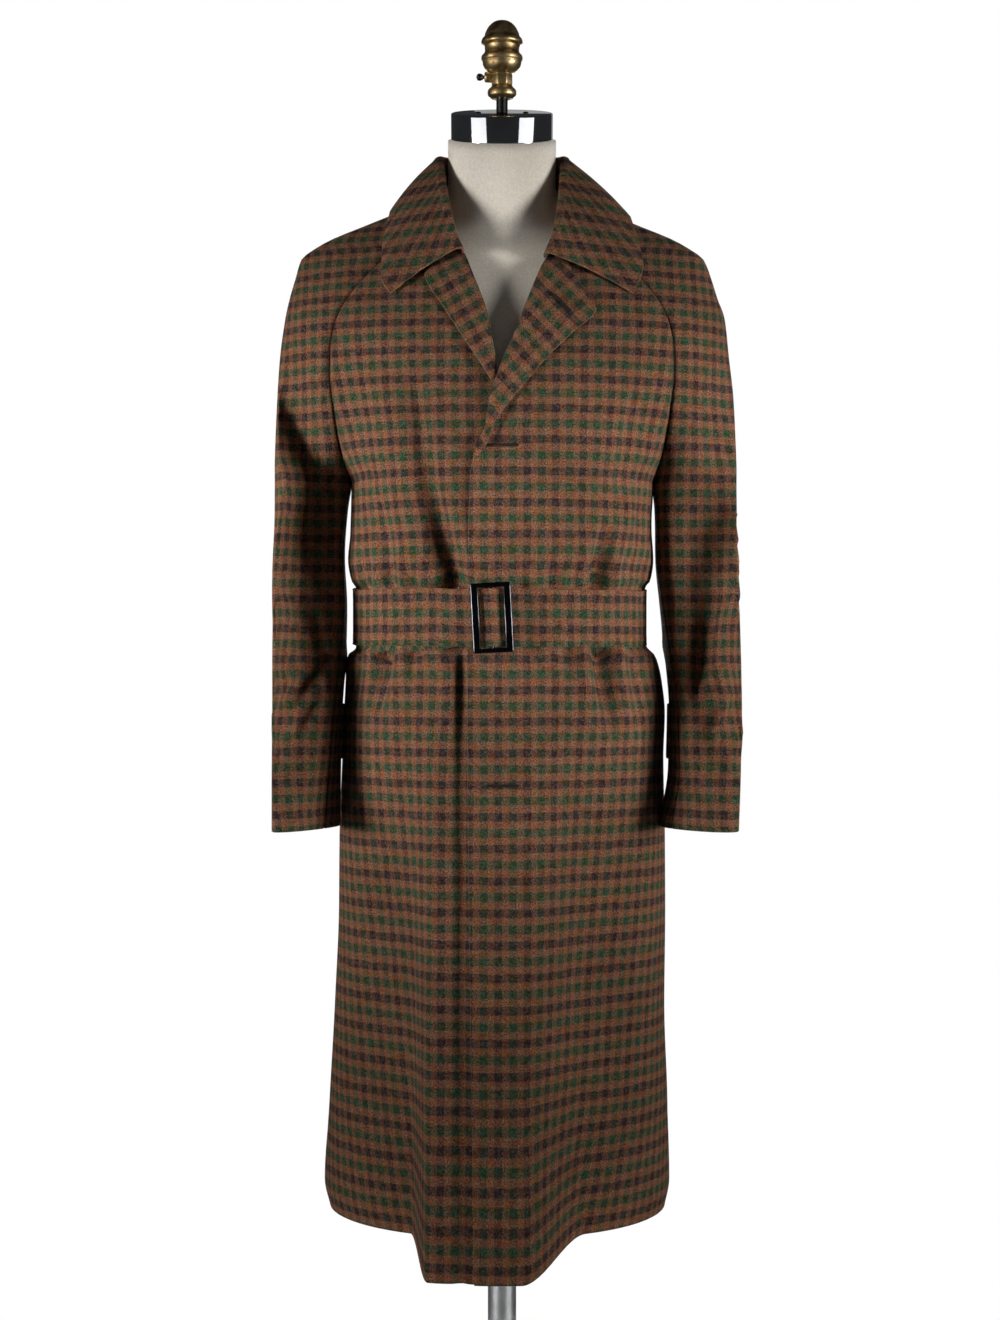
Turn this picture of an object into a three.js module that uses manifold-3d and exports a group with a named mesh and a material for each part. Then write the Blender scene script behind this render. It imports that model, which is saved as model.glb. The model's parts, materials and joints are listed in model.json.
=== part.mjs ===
// A single-breasted raglan overcoat with a buckled belt, on a limbless tailor's dress form.
//
// Millimetres, +Z up. The origin is on the floor under the form's axis, the front faces -Y, and +X is
// the wearer's left. Each cloth piece is an open wall: a grid of points on the outside of the cloth,
// the same grid set in by the cloth's thickness, and a strip round the edge between the two.
// Heights named z are measured from the floor; "across" runs round the body from right to left.

import * as THREE from "three";
import Module from "manifold-3d";
import { mergeVertices } from "three/addons/utils/BufferGeometryUtils.js";

const manifold = await Module();
manifold.setup();

// ---- Driving dimensions ----------------------------------------------------------------------

const CLOTH = 2.0; // wool coating with its facing, one wall
const SEAM_GAP = 0.36; // between two pieces where they are sewn together
const LIFT = 0.7; // air between a panel and what lies on it
const HEM = 439; // hem at the sides, above the floor
const HEM_FADE = 620; // above this height the rows are level again
const HEM_DROP = 27; // how much lower the kicked-out front hangs
const UNDERARM = 1232;
const CUFF = 859;
const NECK_ROW = 1543; // last row of the shoulder, where the collar is sewn on
const LAP_STEP = 4.4; // the right front lies this far under the left
const SQUARE = 0.57; // how square the body is in plan, 0.5523 being an ellipse
const OVERARM_SEAM = 0.46; // place of the over-arm seam, 0 at the front and 1 at the back of an arm row

const WAIST = { z: 1085, width: 60, thickness: 3 };
const BUCKLE = { x: -10, z: 1082, tilt: 3, width: 42, height: 73.4, side: 7.5, rail: 5, depth: 4 };
const BUCKLE_LEVEL = 10.5; // back of the buckle's frame, out from the coat
const BAR = { radius: 1.5, level: 5.4 };

const FORM_RING = 36; // corners in a ring of the form
const NECK_TILT = 17; // the form's neck plate leans forward, degrees
const CAP = { radius: 56, height: 29, z: 1625, edge: 2.5 };
const ROD = { radius: 6.3, top: 1656 };
const POLE_RADIUS = 15.5;
const BASE = { radius: 200, thickness: 12, hub: 34, hubTop: 46 };
const SEAT = 0.3; // between two pieces of the stand that rest on each other

// ---- Small functions -------------------------------------------------------------------------

const radians = THREE.MathUtils.degToRad;
const mix = THREE.MathUtils.lerp;
const vector = (x, y, z) => new THREE.Vector3(x, y, z);

function ease(value) {
  const t = THREE.MathUtils.clamp(value, 0, 1);
  return t * t * (3 - 2 * t);
}

// A curve through one column of a table that never overshoots its rows.
function monotone(heights, values) {
  const last = heights.length - 1;
  const steps = values.slice(1).map((v, i) => (v - values[i]) / (heights[i + 1] - heights[i]));
  const slopes = values.map((_, i) => {
    if (i === 0) return steps[0];
    if (i === last) return steps[last - 1];
    if (steps[i - 1] * steps[i] <= 0) return 0;
    return (2 * steps[i - 1] * steps[i]) / (steps[i - 1] + steps[i]);
  });
  return (z) => {
    if (z <= heights[0]) return values[0];
    if (z >= heights[last]) return values[last];
    const i = heights.findIndex((h) => h > z) - 1;
    const span = heights[i + 1] - heights[i];
    const t = (z - heights[i]) / span;
    const lower = (1 + 2 * t) * (1 - t) ** 2 * values[i] + t * t * (3 - 2 * t) * values[i + 1];
    return lower + span * t * (1 - t) * ((1 - t) * slopes[i] - t * slopes[i + 1]);
  };
}

// A table of sections: the first column is the height, each other column is read by its name.
function sections(names, rows) {
  const heights = rows.map((row) => row[0]);
  const table = {};
  names.forEach((name, c) => {
    const values = rows.map((row) => row[c + 1]);
    table[name] = monotone(heights, values);
  });
  return table;
}

function bezier(points, t) {
  const s = 1 - t;
  const weights = [s * s * s, 3 * s * s * t, 3 * s * t * t, t * t * t];
  const sum = (axis) => weights.reduce((total, w, i) => total + w * points[i][axis], 0);
  return [sum(0), sum(1)];
}

// The value at which a rising function reaches a goal.
function solve(rising, low, high, goal) {
  let [a, b] = [low, high];
  for (let i = 0; i < 40; i += 1) {
    const middle = (a + b) / 2;
    if (rising(middle) < goal) a = middle;
    else b = middle;
  }
  return (a + b) / 2;
}

// ---- Solids ----------------------------------------------------------------------------------

// A closed body from points and triangles, turned so that its faces point out.
function body(points, faces) {
  let volume = 0;
  for (let i = 0; i < faces.length; i += 3) {
    const [a, b, c] = [points[faces[i]], points[faces[i + 1]], points[faces[i + 2]]];
    volume += a.dot(b.clone().cross(c));
  }
  const order = volume < 0 ? faces.slice().reverse() : faces;
  const geometry = new THREE.BufferGeometry();
  geometry.setAttribute("position", new THREE.Float32BufferAttribute(points.flatMap((p) => p.toArray()), 3));
  geometry.setIndex(order);
  geometry.computeVertexNormals();
  return geometry;
}

// An open wall: the outer grid, the inner grid set in along the normals, and the strip round the edge.
function wall(outer, normals, thickness = CLOTH) {
  const rows = outer.length;
  const columns = outer[0].length;
  const inner = outer.map((row, i) => row.map((p, j) => p.clone().addScaledVector(normals[i][j], -thickness)));
  const points = [...outer.flat(), ...inner.flat()];
  const at = (layer, i, j) => (layer * rows + i) * columns + j;
  const faces = [];
  const quad = (a, b, c, d) => faces.push(a, b, c, a, c, d);
  for (let i = 0; i < rows - 1; i += 1) {
    for (let j = 0; j < columns - 1; j += 1) {
      quad(at(0, i, j), at(0, i, j + 1), at(0, i + 1, j + 1), at(0, i + 1, j));
      faces.push(at(1, i, j), at(1, i + 1, j + 1), at(1, i, j + 1));
      faces.push(at(1, i, j), at(1, i + 1, j), at(1, i + 1, j + 1));
    }
    quad(at(0, i, 0), at(0, i + 1, 0), at(1, i + 1, 0), at(1, i, 0));
    quad(at(0, i, columns - 1), at(1, i, columns - 1), at(1, i + 1, columns - 1), at(0, i + 1, columns - 1));
  }
  for (let j = 0; j < columns - 1; j += 1) {
    quad(at(0, 0, j), at(1, 0, j), at(1, 0, j + 1), at(0, 0, j + 1));
    quad(at(0, rows - 1, j), at(0, rows - 1, j + 1), at(1, rows - 1, j + 1), at(1, rows - 1, j));
  }
  return body(points, faces);
}

// The outward normal of a surface given as a function of a place across and a height.
function normalOf(surface, across, z, low, high) {
  const step = 0.004 * (high - low);
  const a = surface(Math.max(low, across - step), z);
  const b = surface(Math.min(high, across + step), z);
  const below = surface(across, z - 1);
  const above = surface(across, z + 1);
  return b.sub(a).cross(above.sub(below)).normalize();
}

// Normals of a grid of points, each the mean of the faces round it.
function gridNormals(grid) {
  const at = (i, j) => {
    const row = grid[THREE.MathUtils.clamp(i, 0, grid.length - 1)];
    return row[THREE.MathUtils.clamp(j, 0, row.length - 1)];
  };
  return grid.map((row, i) =>
    row.map((_, j) => {
      const along = at(i, j + 1).clone().sub(at(i, j - 1));
      const up = at(i + 1, j).clone().sub(at(i - 1, j));
      return along.cross(up).normalize();
    }),
  );
}

// Draws the first and last point of each row in towards the next one, to leave the seam open.
function openSeams(grid, first, last) {
  grid.forEach((row, i) => {
    const end = row.length - 1;
    const start = row[1].clone().sub(row[0]).setLength(first(i));
    const finish = row[end - 1].clone().sub(row[end]).setLength(last(i));
    row[0].add(start);
    row[end].add(finish);
  });
}

// A cloth panel: rows at the given heights, each with points at the places that across(z) lists.
function panel({ heights, across, surface, low, high, first = () => SEAM_GAP / 2, last = first }) {
  const grid = heights.map((z) => across(z).map((a) => surface(a, z)));
  const normals = heights.map((z) => across(z).map((a) => normalOf(surface, a, z, low, high)));
  openSeams(grid, (i) => first(heights[i]), (i) => last(heights[i]));
  return wall(grid, normals);
}

// A closed loft through rings of equal count, with a fan on each end.
function loft(rings) {
  const count = rings[0].length;
  const points = rings.flat();
  const faces = [];
  for (let i = 0; i < rings.length - 1; i += 1) {
    for (let j = 0; j < count; j += 1) {
      const next = (j + 1) % count;
      const [a, b, c, d] = [i * count + j, i * count + next, (i + 1) * count + next, (i + 1) * count + j];
      faces.push(a, b, c, a, c, d);
    }
  }
  const centre = (ring) => ring.reduce((sum, p) => sum.add(p), vector(0, 0, 0)).divideScalar(count);
  const low = points.push(centre(rings[0])) - 1;
  const high = points.push(centre(rings.at(-1))) - 1;
  const top = (rings.length - 1) * count;
  for (let j = 0; j < count; j += 1) {
    const next = (j + 1) % count;
    faces.push(low, next, j);
    faces.push(high, top + j, top + next);
  }
  return body(points, faces);
}

// A turned piece: its profile is a list of [radius, height] that starts and ends on the axis.
function turned(profile, count) {
  const geometry = new THREE.LatheGeometry(profile.map(([r, z]) => new THREE.Vector2(r, z)), count);
  return geometry.rotateX(Math.PI / 2);
}

function toManifold(geometry) {
  const bare = geometry.clone();
  bare.deleteAttribute("normal");
  bare.deleteAttribute("uv");
  const merged = mergeVertices(bare, 1e-4);
  const vertProperties = new Float32Array(merged.attributes.position.array);
  const triVerts = new Uint32Array(merged.index.array);
  return new manifold.Manifold(new manifold.Mesh({ numProp: 3, vertProperties, triVerts }));
}

function joined(geometries) {
  const whole = geometries.map(toManifold).reduce((a, b) => a.add(b));
  const mesh = whole.getMesh();
  const geometry = new THREE.BufferGeometry();
  geometry.setAttribute("position", new THREE.BufferAttribute(new Float32Array(mesh.vertProperties), 3));
  geometry.setIndex([...mesh.triVerts]);
  geometry.computeVertexNormals();
  return geometry;
}

// ---- The coat's sections ---------------------------------------------------------------------

// Body rows: half widths at the side seams, where the side seam lies, and depths before and behind.
const BODY = sections(
  ["right", "left", "sideY", "front", "back"],
  [
    [439, 190, 180, 20, 152, 190],
    [466, 196, 185, 20, 152, 185],
    [554, 190, 182.6, 20, 152, 174],
    [664, 182.6, 178, 20, 152, 164],
    [774, 178, 179, 20, 152, 153],
    [840, 178, 179, 20, 151, 146],
    [928, 176, 178, 20, 149, 134],
    [980, 174, 180, 18, 143, 125],
    [1016, 171, 176, 12, 138, 117],
    [1036, 165, 168, 6, 133, 111],
    [1050, 160, 158, 2, 127, 104],
    [1120, 160, 158, 0, 127, 104],
    [1135, 165, 161, 0, 133, 109],
    [1148, 168, 163, 0, 136, 112],
    [1180, 166, 163, 0, 141, 116],
    [1232, 164.8, 164.8, 0, 148, 124],
    [1280, 164.8, 164.8, 0, 150, 128],
    [1334, 164.8, 164.8, 0, 142, 130],
    [1400, 164.8, 164.8, 0, 118, 125],
    [1440, 164.8, 164.8, 0, 100, 117],
    [1465, 164.8, 164.8, 0, 86, 110],
    [1485, 164.8, 164.8, 0, 76, 101],
    [1505, 164.8, 164.8, 0, 60, 91],
    [1522, 164.8, 164.8, 0, 43, 83],
    [1543, 164.8, 164.8, 0, 30, 73],
  ],
);

// The front of the skirt stands out between two folds: its height, and where the right fold ends.
const KICK = sections(
  ["height", "edge", "width"],
  [
    [439, 84, -76, 20],
    [600, 56, -73, 24],
    [774, 29, -68, 32],
    [900, 13, -64, 40],
    [980, 5, -60, 44],
    [1036, 0, -60, 44],
  ],
);
const KICK_LEFT = { start: 20, width: 68 }; // where it falls away again on the left front

// Raglan seam on the front, from the underarm to the neck. Angles are the directions in plan in which
// the front arrives at the seam and the sleeve leaves it; reach is the length of the sleeve's handle.
const FRONT_SEAM = sections(
  ["x", "y", "bodyAngle", "armAngle", "reach"],
  [
    [1232, 165, 0, 90, -90, 117],
    [1258, 172, -45, 72, -66, 75],
    [1286, 177, -66, 55, -42, 48],
    [1316, 181, -80, 42, -22, 34],
    [1342, 184, -86, 34, -8, 30],
    [1368, 183.5, -88, 30, 3, 30],
    [1392, 180, -88, 28, 12, 31],
    [1414, 172, -84, 25, 17, 33],
    [1434, 159, -79.5, 23, 20, 36],
    [1456, 140.5, -71, 21, 20, 42],
    [1478, 119, -61, 22, 20, 44],
    [1500, 99, -48.5, 32, 25, 38],
    [1511, 91, -42.5, 42, 32, 30],
    [1522, 84.5, -37, 55, 45, 20],
    [1533, 81.5, -21, 65, 65, 10],
    [1543, 80.5, -7, 80, 80, 3],
  ],
);

// Raglan seam on the back, in the same way.
const BACK_SEAM = sections(
  ["x", "y", "bodyAngle", "armAngle", "reach"],
  [
    [1232, 165, 0, -90, 270, 113],
    [1260, 172, 42, -72, 246, 78],
    [1290, 176, 62, -54, 222, 54],
    [1320, 176, 76, -42, 204, 42],
    [1357, 170, 87, -30, 188, 38],
    [1392, 160, 95, -22, 180, 38],
    [1432, 140, 100, -16, 174, 42],
    [1465, 118, 98, -14, 172, 46],
    [1500, 90, 90, -14, 170, 42],
    [1530, 72, 75, -22, 165, 30],
    [1543, 65, 65, -30, 158, 20],
  ],
);

// Outermost line of each arm, and up the shoulder to the neck: lean turns the section so that its
// front end stands out; front and back are the lengths of the handles on each side of the line.
const OUTER_ARM = sections(
  ["right", "left", "y", "lean", "front", "back"],
  [
    [859, 228, 238, -80, 23, 87, 87],
    [920, 232.8, 242.3, -68, 19, 92, 90],
    [980, 236.8, 247.8, -54, 15, 98, 96],
    [1040, 240.6, 250.6, -40, 12, 104, 100],
    [1104, 244, 253, -27, 8, 110, 106],
    [1148, 246, 254.6, -18, 5, 113, 110],
    [1232, 248, 256, -10, 0, 117, 113],
    [1280, 247, 255, -10, 0, 86, 90],
    [1324, 245.5, 253, -10, 0, 64, 76],
    [1368, 243, 248.5, -8, 0, 50, 66],
    [1412, 237.5, 244, -6, 0, 41, 58],
    [1434, 233, 236.5, -4, 0, 37, 55],
    [1456, 227, 230, -2, 0, 34, 52],
    [1478, 220.5, 221.5, 0, 0, 31, 48],
    [1489, 207, 207, 0, 0, 28, 45],
    [1500, 187, 187, 0, 0, 25, 42],
    [1511, 160, 160, 0, 0, 22, 39],
    [1522, 133, 133, 0, 0, 18, 36],
    [1533, 106, 106, 0, 0, 12, 32],
    [1543, 83, 83, 0, 0, 5, 28],
  ],
);

// Underarm seam of each sleeve, below the armhole.
const INNER_ARM = sections(
  ["right", "left", "y"],
  [
    [859, 188.4, 179.6, -80],
    [920, 184.5, 189.2, -68],
    [980, 181, 188.7, -54],
    [1040, 175.5, 182.9, -40],
    [1104, 172.5, 174.5, -27],
    [1148, 174, 169.5, -18],
    [1200, 170, 168, -7],
    [1232, 165.2, 165.2, 0],
  ],
);

// Front edge of the left front up to the roll of its lapel and the neck, and the hidden right edge.
const LEFT_EDGE = sections(
  ["x"],
  [
    [439, -28],
    [1050, -36],
    [1150, -34.5],
    [1232, -32.5],
    [1252, -28],
    [1280, -14.5],
    [1316, -8],
    [1350, 4],
    [1376, 15],
    [1418, 30.5],
    [1462, 48.5],
    [1485, 62],
    [1508, 73],
    [1522, 79],
  ],
);
const RIGHT_EDGE = sections(
  ["x"],
  [
    [439, 24],
    [774, 28],
    [1036, 33],
    [1230, 33],
    [1260, 27],
    [1290, 13],
    [1316, -1],
    [1330, -8],
    [1365, -12],
    [1400, -18],
    [1425, -26.5],
    [1450, -36],
    [1472, -44],
    [1485, -56],
    [1508, -71],
    [1522, -78.5],
  ],
);

// ---- Soft folds ------------------------------------------------------------------------------

// Each fold is a trough between two ends, across at a height: x on the fronts, and on a sleeve the
// place round the arm from 0 to 1. Depth and half width are in millimetres.
const FRONT_FOLDS = [
  { from: [-76, 1262], to: [-52, 1119], depth: 9, width: 10 },
  { from: [-130, 1165], to: [-124, 1118], depth: 6, width: 9 },
  { from: [118, 1175], to: [110, 1118], depth: 6, width: 9 },
  { from: [-129, 1051], to: [-134, 1000], depth: 6, width: 9 },
  { from: [106, 1051], to: [116, 985], depth: 6, width: 9 },
  { from: [58, 1160], to: [52, 1118], depth: 3, width: 10 },
];
const BACK_FOLDS = [
  { from: [-110, 1190], to: [-100, 1118], depth: 5, width: 12 },
  { from: [-40, 1180], to: [-36, 1118], depth: 4, width: 12 },
  { from: [62, 1195], to: [56, 1118], depth: 5, width: 12 },
  { from: [-96, 1051], to: [-104, 960], depth: 5, width: 13 },
  { from: [20, 1051], to: [26, 940], depth: 4, width: 13 },
  { from: [104, 1051], to: [112, 970], depth: 5, width: 13 },
];
const ARM_GIRTH = 300; // round a sleeve, to turn a place round the arm into a length
const ARM_FOLDS = [
  { from: [0.2, 1400], to: [0.24, 1120], depth: 6, width: 14 },
  { from: [0.34, 1130], to: [0.12, 1010], depth: 6, width: 12 },
  { from: [0.12, 1046], to: [0.28, 985], depth: 5, width: 11 },
  { from: [0.66, 1140], to: [0.84, 1030], depth: 5, width: 12 },
];

// How deep all the folds of a list are at a place.
function troughs(folds, across, z, scale = 1) {
  return folds.reduce((sum, { from, to, depth, width }) => {
    const t = (z - from[1]) / (to[1] - from[1]);
    if (t <= 0 || t >= 1) return sum;
    const off = ((across - mix(from[0], to[0], t)) * scale) / width;
    return sum + depth * Math.sin(Math.PI * Math.min(1, t * 1.3)) ** 0.7 * Math.exp(-off * off);
  }, 0);
}

// A surface with its folds pressed in along its own normal.
function folded(surface, depthAt, low, high) {
  return (across, z) => {
    const point = surface(across, z);
    const depth = depthAt(across, z, point);
    if (depth < 0.01) return point;
    return point.addScaledVector(normalOf(surface, across, z, low, high), -depth);
  };
}

// ---- Body surfaces ---------------------------------------------------------------------------

// Half of a body row in plan, from the centre line to the side seam or the raglan seam.
function halfRow(depth, end, angle) {
  const turn = radians(angle);
  const rise = Math.abs(depth - end[1]);
  const reach = SQUARE * rise * Math.sin(turn) ** 2 + 0.42 * end[0] * Math.cos(turn) ** 2;
  const handle = [end[0] - reach * Math.cos(turn), end[1] - reach * Math.sin(turn)];
  return [[0, depth], [SQUARE * end[0], depth], handle, end];
}

function seamEnd(seam, side, z) {
  return z > UNDERARM ? [seam.x(z), seam.y(z)] : [BODY[side](z), BODY.sideY(z)];
}

function kickOut(x, z) {
  const edge = KICK.edge(z);
  const rising = ease((x - edge + KICK.width(z)) / KICK.width(z));
  return rising * (1 - ease((x - KICK_LEFT.start) / KICK_LEFT.width));
}

// Front of the body: -1 at the right side seam, 0 on the centre line, 1 at the left side seam.
function frontBase(across, z) {
  const side = across < 0 ? "right" : "left";
  const angle = z > UNDERARM ? FRONT_SEAM.bodyAngle(z) : 90;
  const [width, y] = bezier(halfRow(-BODY.front(z), seamEnd(FRONT_SEAM, side, z), angle), Math.abs(across));
  const x = Math.sign(across) * width;
  const kick = z < 1036 ? kickOut(x, z) : 0;
  const drop = HEM_DROP * kick * ease((HEM_FADE - z) / (HEM_FADE - HEM));
  return vector(x, y - KICK.height(z) * kick, z - drop);
}

// Back of the body: -1 at the left side seam and 1 at the right, so that outside is on the same hand.
function backBase(across, z) {
  const side = across < 0 ? "left" : "right";
  const angle = z > UNDERARM ? BACK_SEAM.bodyAngle(z) : -90;
  const [width, y] = bezier(halfRow(BODY.back(z), seamEnd(BACK_SEAM, side, z), angle), Math.abs(across));
  return vector(-Math.sign(across) * width, y, z);
}

const frontSurface = folded(frontBase, (across, z, p) => troughs(FRONT_FOLDS, p.x, z), -1, 1);
const backSurface = folded(backBase, (across, z, p) => troughs(BACK_FOLDS, p.x, z), -1, 1);

// The right front steps in under the left one.
function underFront(across, z) {
  const point = frontSurface(across, z);
  const step = LAP_STEP * ease((point.x + 75) / 37) * (1 - ease((z - 1330) / 70));
  return point.add(vector(0, step, 0));
}

const frontPlace = (x, z) => solve((a) => frontBase(a, z).x, -1, 1, x);

// ---- Sleeves ---------------------------------------------------------------------------------

const SIDES = { right: -1, left: 1 };

// An arm row in plan: from the front seam round the outside to the back seam, in two curves.
function armRow(side, z) {
  const low = z <= UNDERARM;
  const inner = low && [INNER_ARM[side](z), INNER_ARM.y(z)];
  const start = low ? inner : [FRONT_SEAM.x(z), FRONT_SEAM.y(z)];
  const finish = low ? inner : [BACK_SEAM.x(z), BACK_SEAM.y(z)];
  const lean = OUTER_ARM.lean(z);
  const leave = radians(low ? lean - 90 : FRONT_SEAM.armAngle(z));
  const arrive = radians(low ? lean + 270 : BACK_SEAM.armAngle(z));
  const turn = radians(lean + 90);
  const outer = [OUTER_ARM[side](z), OUTER_ARM.y(z)];
  const reachFront = low ? OUTER_ARM.front(z) : FRONT_SEAM.reach(z);
  const reachBack = low ? OUTER_ARM.back(z) : BACK_SEAM.reach(z);
  const step = (from, angle, length) => [from[0] + length * Math.cos(angle), from[1] + length * Math.sin(angle)];
  return [
    [start, step(start, leave, reachFront), step(outer, turn, -OUTER_ARM.front(z)), outer],
    [outer, step(outer, turn, OUTER_ARM.back(z)), step(finish, arrive, -reachBack), finish],
  ];
}

// Outside of a sleeve: 0 at the front seam, 0.5 on the outermost line, 1 at the back seam.
function armSurface(side) {
  const base = (around, z) => {
    const [front, back] = armRow(side, z);
    const [x, y] = around < 0.5 ? bezier(front, 2 * around) : bezier(back, 2 * around - 1);
    return vector(SIDES[side] * x, y, z);
  };
  const facing = (around, z) => {
    const normal = normalOf(base, around, z, 0, 1);
    return side === "left" ? normal : normal.negate();
  };
  return (around, z) => {
    const point = base(around, z);
    const depth = troughs(ARM_FOLDS, around, z, ARM_GIRTH);
    return depth < 0.01 ? point : point.addScaledVector(facing(around, z), -depth);
  };
}

const ARM = { right: armSurface("right"), left: armSurface("left") };

function armNormal(side, around, z) {
  const normal = normalOf(ARM[side], around, z, 0, 1);
  return side === "left" ? normal : normal.negate();
}

// Half of the opening left in each piece along a raglan seam, wider where the two meet in a valley.
function raglanPull(seam, z) {
  if (z <= UNDERARM) return SEAM_GAP / 2;
  const bend = Math.abs(seam.bodyAngle(z) - seam.armAngle(z));
  const opening = radians(bend > 180 ? bend - 180 : 180 - bend) / 2;
  return Math.min(0.7, SEAM_GAP / 2 / Math.sin(opening));
}
const frontPull = (z) => raglanPull(FRONT_SEAM, z);
const backPull = (z) => {
  if (z <= UNDERARM) return SEAM_GAP / 2;
  const valley = 180 + BACK_SEAM.bodyAngle(z) - BACK_SEAM.armAngle(z);
  return Math.min(0.7, SEAM_GAP / 2 / Math.max(0.26, Math.cos(radians(valley) / 2)));
};

// ---- Cloth panels ----------------------------------------------------------------------------

const SKIRT_ROWS = [439, 480, 540, 620, 700, 780, 860, 920, 970, 1010, 1050];
const WAIST_ROWS = [1085, 1119, 1145, 1185, UNDERARM];
const RAGLAN_ROWS = [1258, 1286, 1316, 1342, 1368, 1392, 1414, 1434, 1456, 1478, 1489, 1500, 1511, 1522];
const ARM_ROWS = [CUFF, 890, 920, 950, 980, 1010, 1040, 1070, 1104, 1145, 1185, UNDERARM];

const FRONT_ROWS = [...SKIRT_ROWS, ...WAIST_ROWS, ...RAGLAN_ROWS];

// Columns of the right front, from its side seam to its hidden edge, close together at the fold.
const RIGHT_COLUMNS = [0, 0.11, 0.22, 0.33, 0.44, 0.53, 0.59, 0.625, 0.65, 0.675, 0.7, 0.76, 0.84, 0.92, 1];
const LEFT_COLUMNS = [0, 0.05, 0.11, 0.17, 0.24, 0.31, 0.38, 0.46, 0.55, 0.64, 0.74, 0.87, 1];

function rightFront() {
  const across = (z) => {
    const edge = frontPlace(RIGHT_EDGE.x(z), z);
    return RIGHT_COLUMNS.map((c) => mix(-1, edge, c));
  };
  return panel({ heights: FRONT_ROWS, across, surface: underFront, low: -1, high: 1, first: frontPull, last: () => 0.01 });
}

function leftFront() {
  const across = (z) => {
    const edge = frontPlace(LEFT_EDGE.x(z), z);
    return LEFT_COLUMNS.map((c) => mix(edge, 1, c));
  };
  return panel({ heights: FRONT_ROWS, across, surface: frontSurface, low: -1, high: 1, first: () => 0.01, last: frontPull });
}

function back() {
  const columns = Array.from({ length: 17 }, (_, i) => i / 8 - 1);
  const heights = [...FRONT_ROWS, 1533, NECK_ROW];
  return panel({ heights, across: () => columns, surface: backSurface, low: -1, high: 1, first: backPull });
}

const FRONT_COLUMNS = 8;
const BACK_COLUMNS = 9;
const sleeveColumns = (from, to, count) => Array.from({ length: count }, (_, i) => mix(from, to, i / (count - 1)));

function sleevePiece(side, from, to, count, first, last) {
  const columns = sleeveColumns(from, to, count);
  const heights = [...ARM_ROWS, ...RAGLAN_ROWS, 1533, NECK_ROW];
  const grid = heights.map((z) => columns.map((a) => ARM[side](a, z)));
  const normals = heights.map((z) => columns.map((a) => armNormal(side, a, z)));
  openSeams(grid, (i) => first(heights[i]), (i) => last(heights[i]));
  return wall(grid, normals);
}

const evenPull = () => SEAM_GAP / 2;
const sleeveFront = (side) => sleevePiece(side, 0, OVERARM_SEAM, FRONT_COLUMNS, frontPull, evenPull);
const sleeveBack = (side) => sleevePiece(side, OVERARM_SEAM, 1, BACK_COLUMNS, evenPull, backPull);

// ---- Lapels ----------------------------------------------------------------------------------

// A place on the front or on the sleeve's front, out from it by a level.
function onCoat(x, z, level) {
  const side = x < 0 ? "right" : "left";
  if (Math.abs(x) <= FRONT_SEAM.x(z)) {
    const across = frontPlace(x, z);
    return frontBase(across, z).addScaledVector(normalOf(frontBase, across, z, -1, 1), level);
  }
  const around = solve((a) => Math.abs(ARM[side](a, z).x), 0, 0.5, Math.abs(x));
  return ARM[side](around, z).addScaledVector(armNormal(side, around, z), level);
}

// Outer edge of each lapel from the start of its roll to its point and up to the notch.
const LEFT_LAPEL = sections(
  ["x"],
  [
    [1249, -22],
    [1262, -12.5],
    [1280, -4.5],
    [1304, 6],
    [1330, 27],
    [1352, 45],
    [1380, 72.5],
    [1407, 98],
    [1414, 94.5],
    [1434, 82.5],
    [1453, 71],
    [1460.5, 57],
  ],
);
const RIGHT_LAPEL = sections(
  ["x"],
  [
    [1340, -17.5],
    [1365, -33.6],
    [1405, -58.7],
    [1441, -81.5],
    [1452, -69.5],
    [1462, -57.5],
    [1468, -50.5],
  ],
);
const LAPEL_ROWS = {
  left: [1249, 1262, 1280, 1304, 1330, 1352, 1380, 1395, 1407, 1414, 1434, 1453, 1460.5],
  right: [1340, 1352, 1365, 1385, 1405, 1423, 1441, 1452, 1462, 1468],
};

const ROLL_CLEAR = 1.6; // between the edge of a front and the lapel that folds round it

// A lapel folds round the edge of its front: the first three columns wrap that edge, and the rest lies
// on the front, standing off it a little along the roll.
function lapel(side) {
  const sign = SIDES[side];
  const edge = side === "left" ? LEFT_EDGE : RIGHT_EDGE;
  const outer = side === "left" ? LEFT_LAPEL : RIGHT_LAPEL;
  const flat = CLOTH + LIFT;
  const roll = flat + 3.2;
  const row = (z) => {
    const start = edge.x(z);
    const width = Math.abs(outer.x(z) - start);
    const high = mix(flat, roll, ease(width / 40));
    const wrap = [
      [-CLOTH - ROLL_CLEAR, -0.6],
      [-CLOTH - ROLL_CLEAR + 0.2, high * 0.6],
      [-0.8, high],
    ];
    const rest = [0.25, 0.55, 0.8, 1].map((t) => [t * width, mix(high, flat, ease(t / 0.8))]);
    return [...wrap, ...rest].map(([inward, level]) => onCoat(start + sign * inward, z, level));
  };
  const grid = LAPEL_ROWS[side].map(row);
  const normals = gridNormals(grid);
  if (side === "right") normals.flat().forEach((n) => n.negate());
  return wall(grid, normals);
}

// ---- Collar ----------------------------------------------------------------------------------

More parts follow.
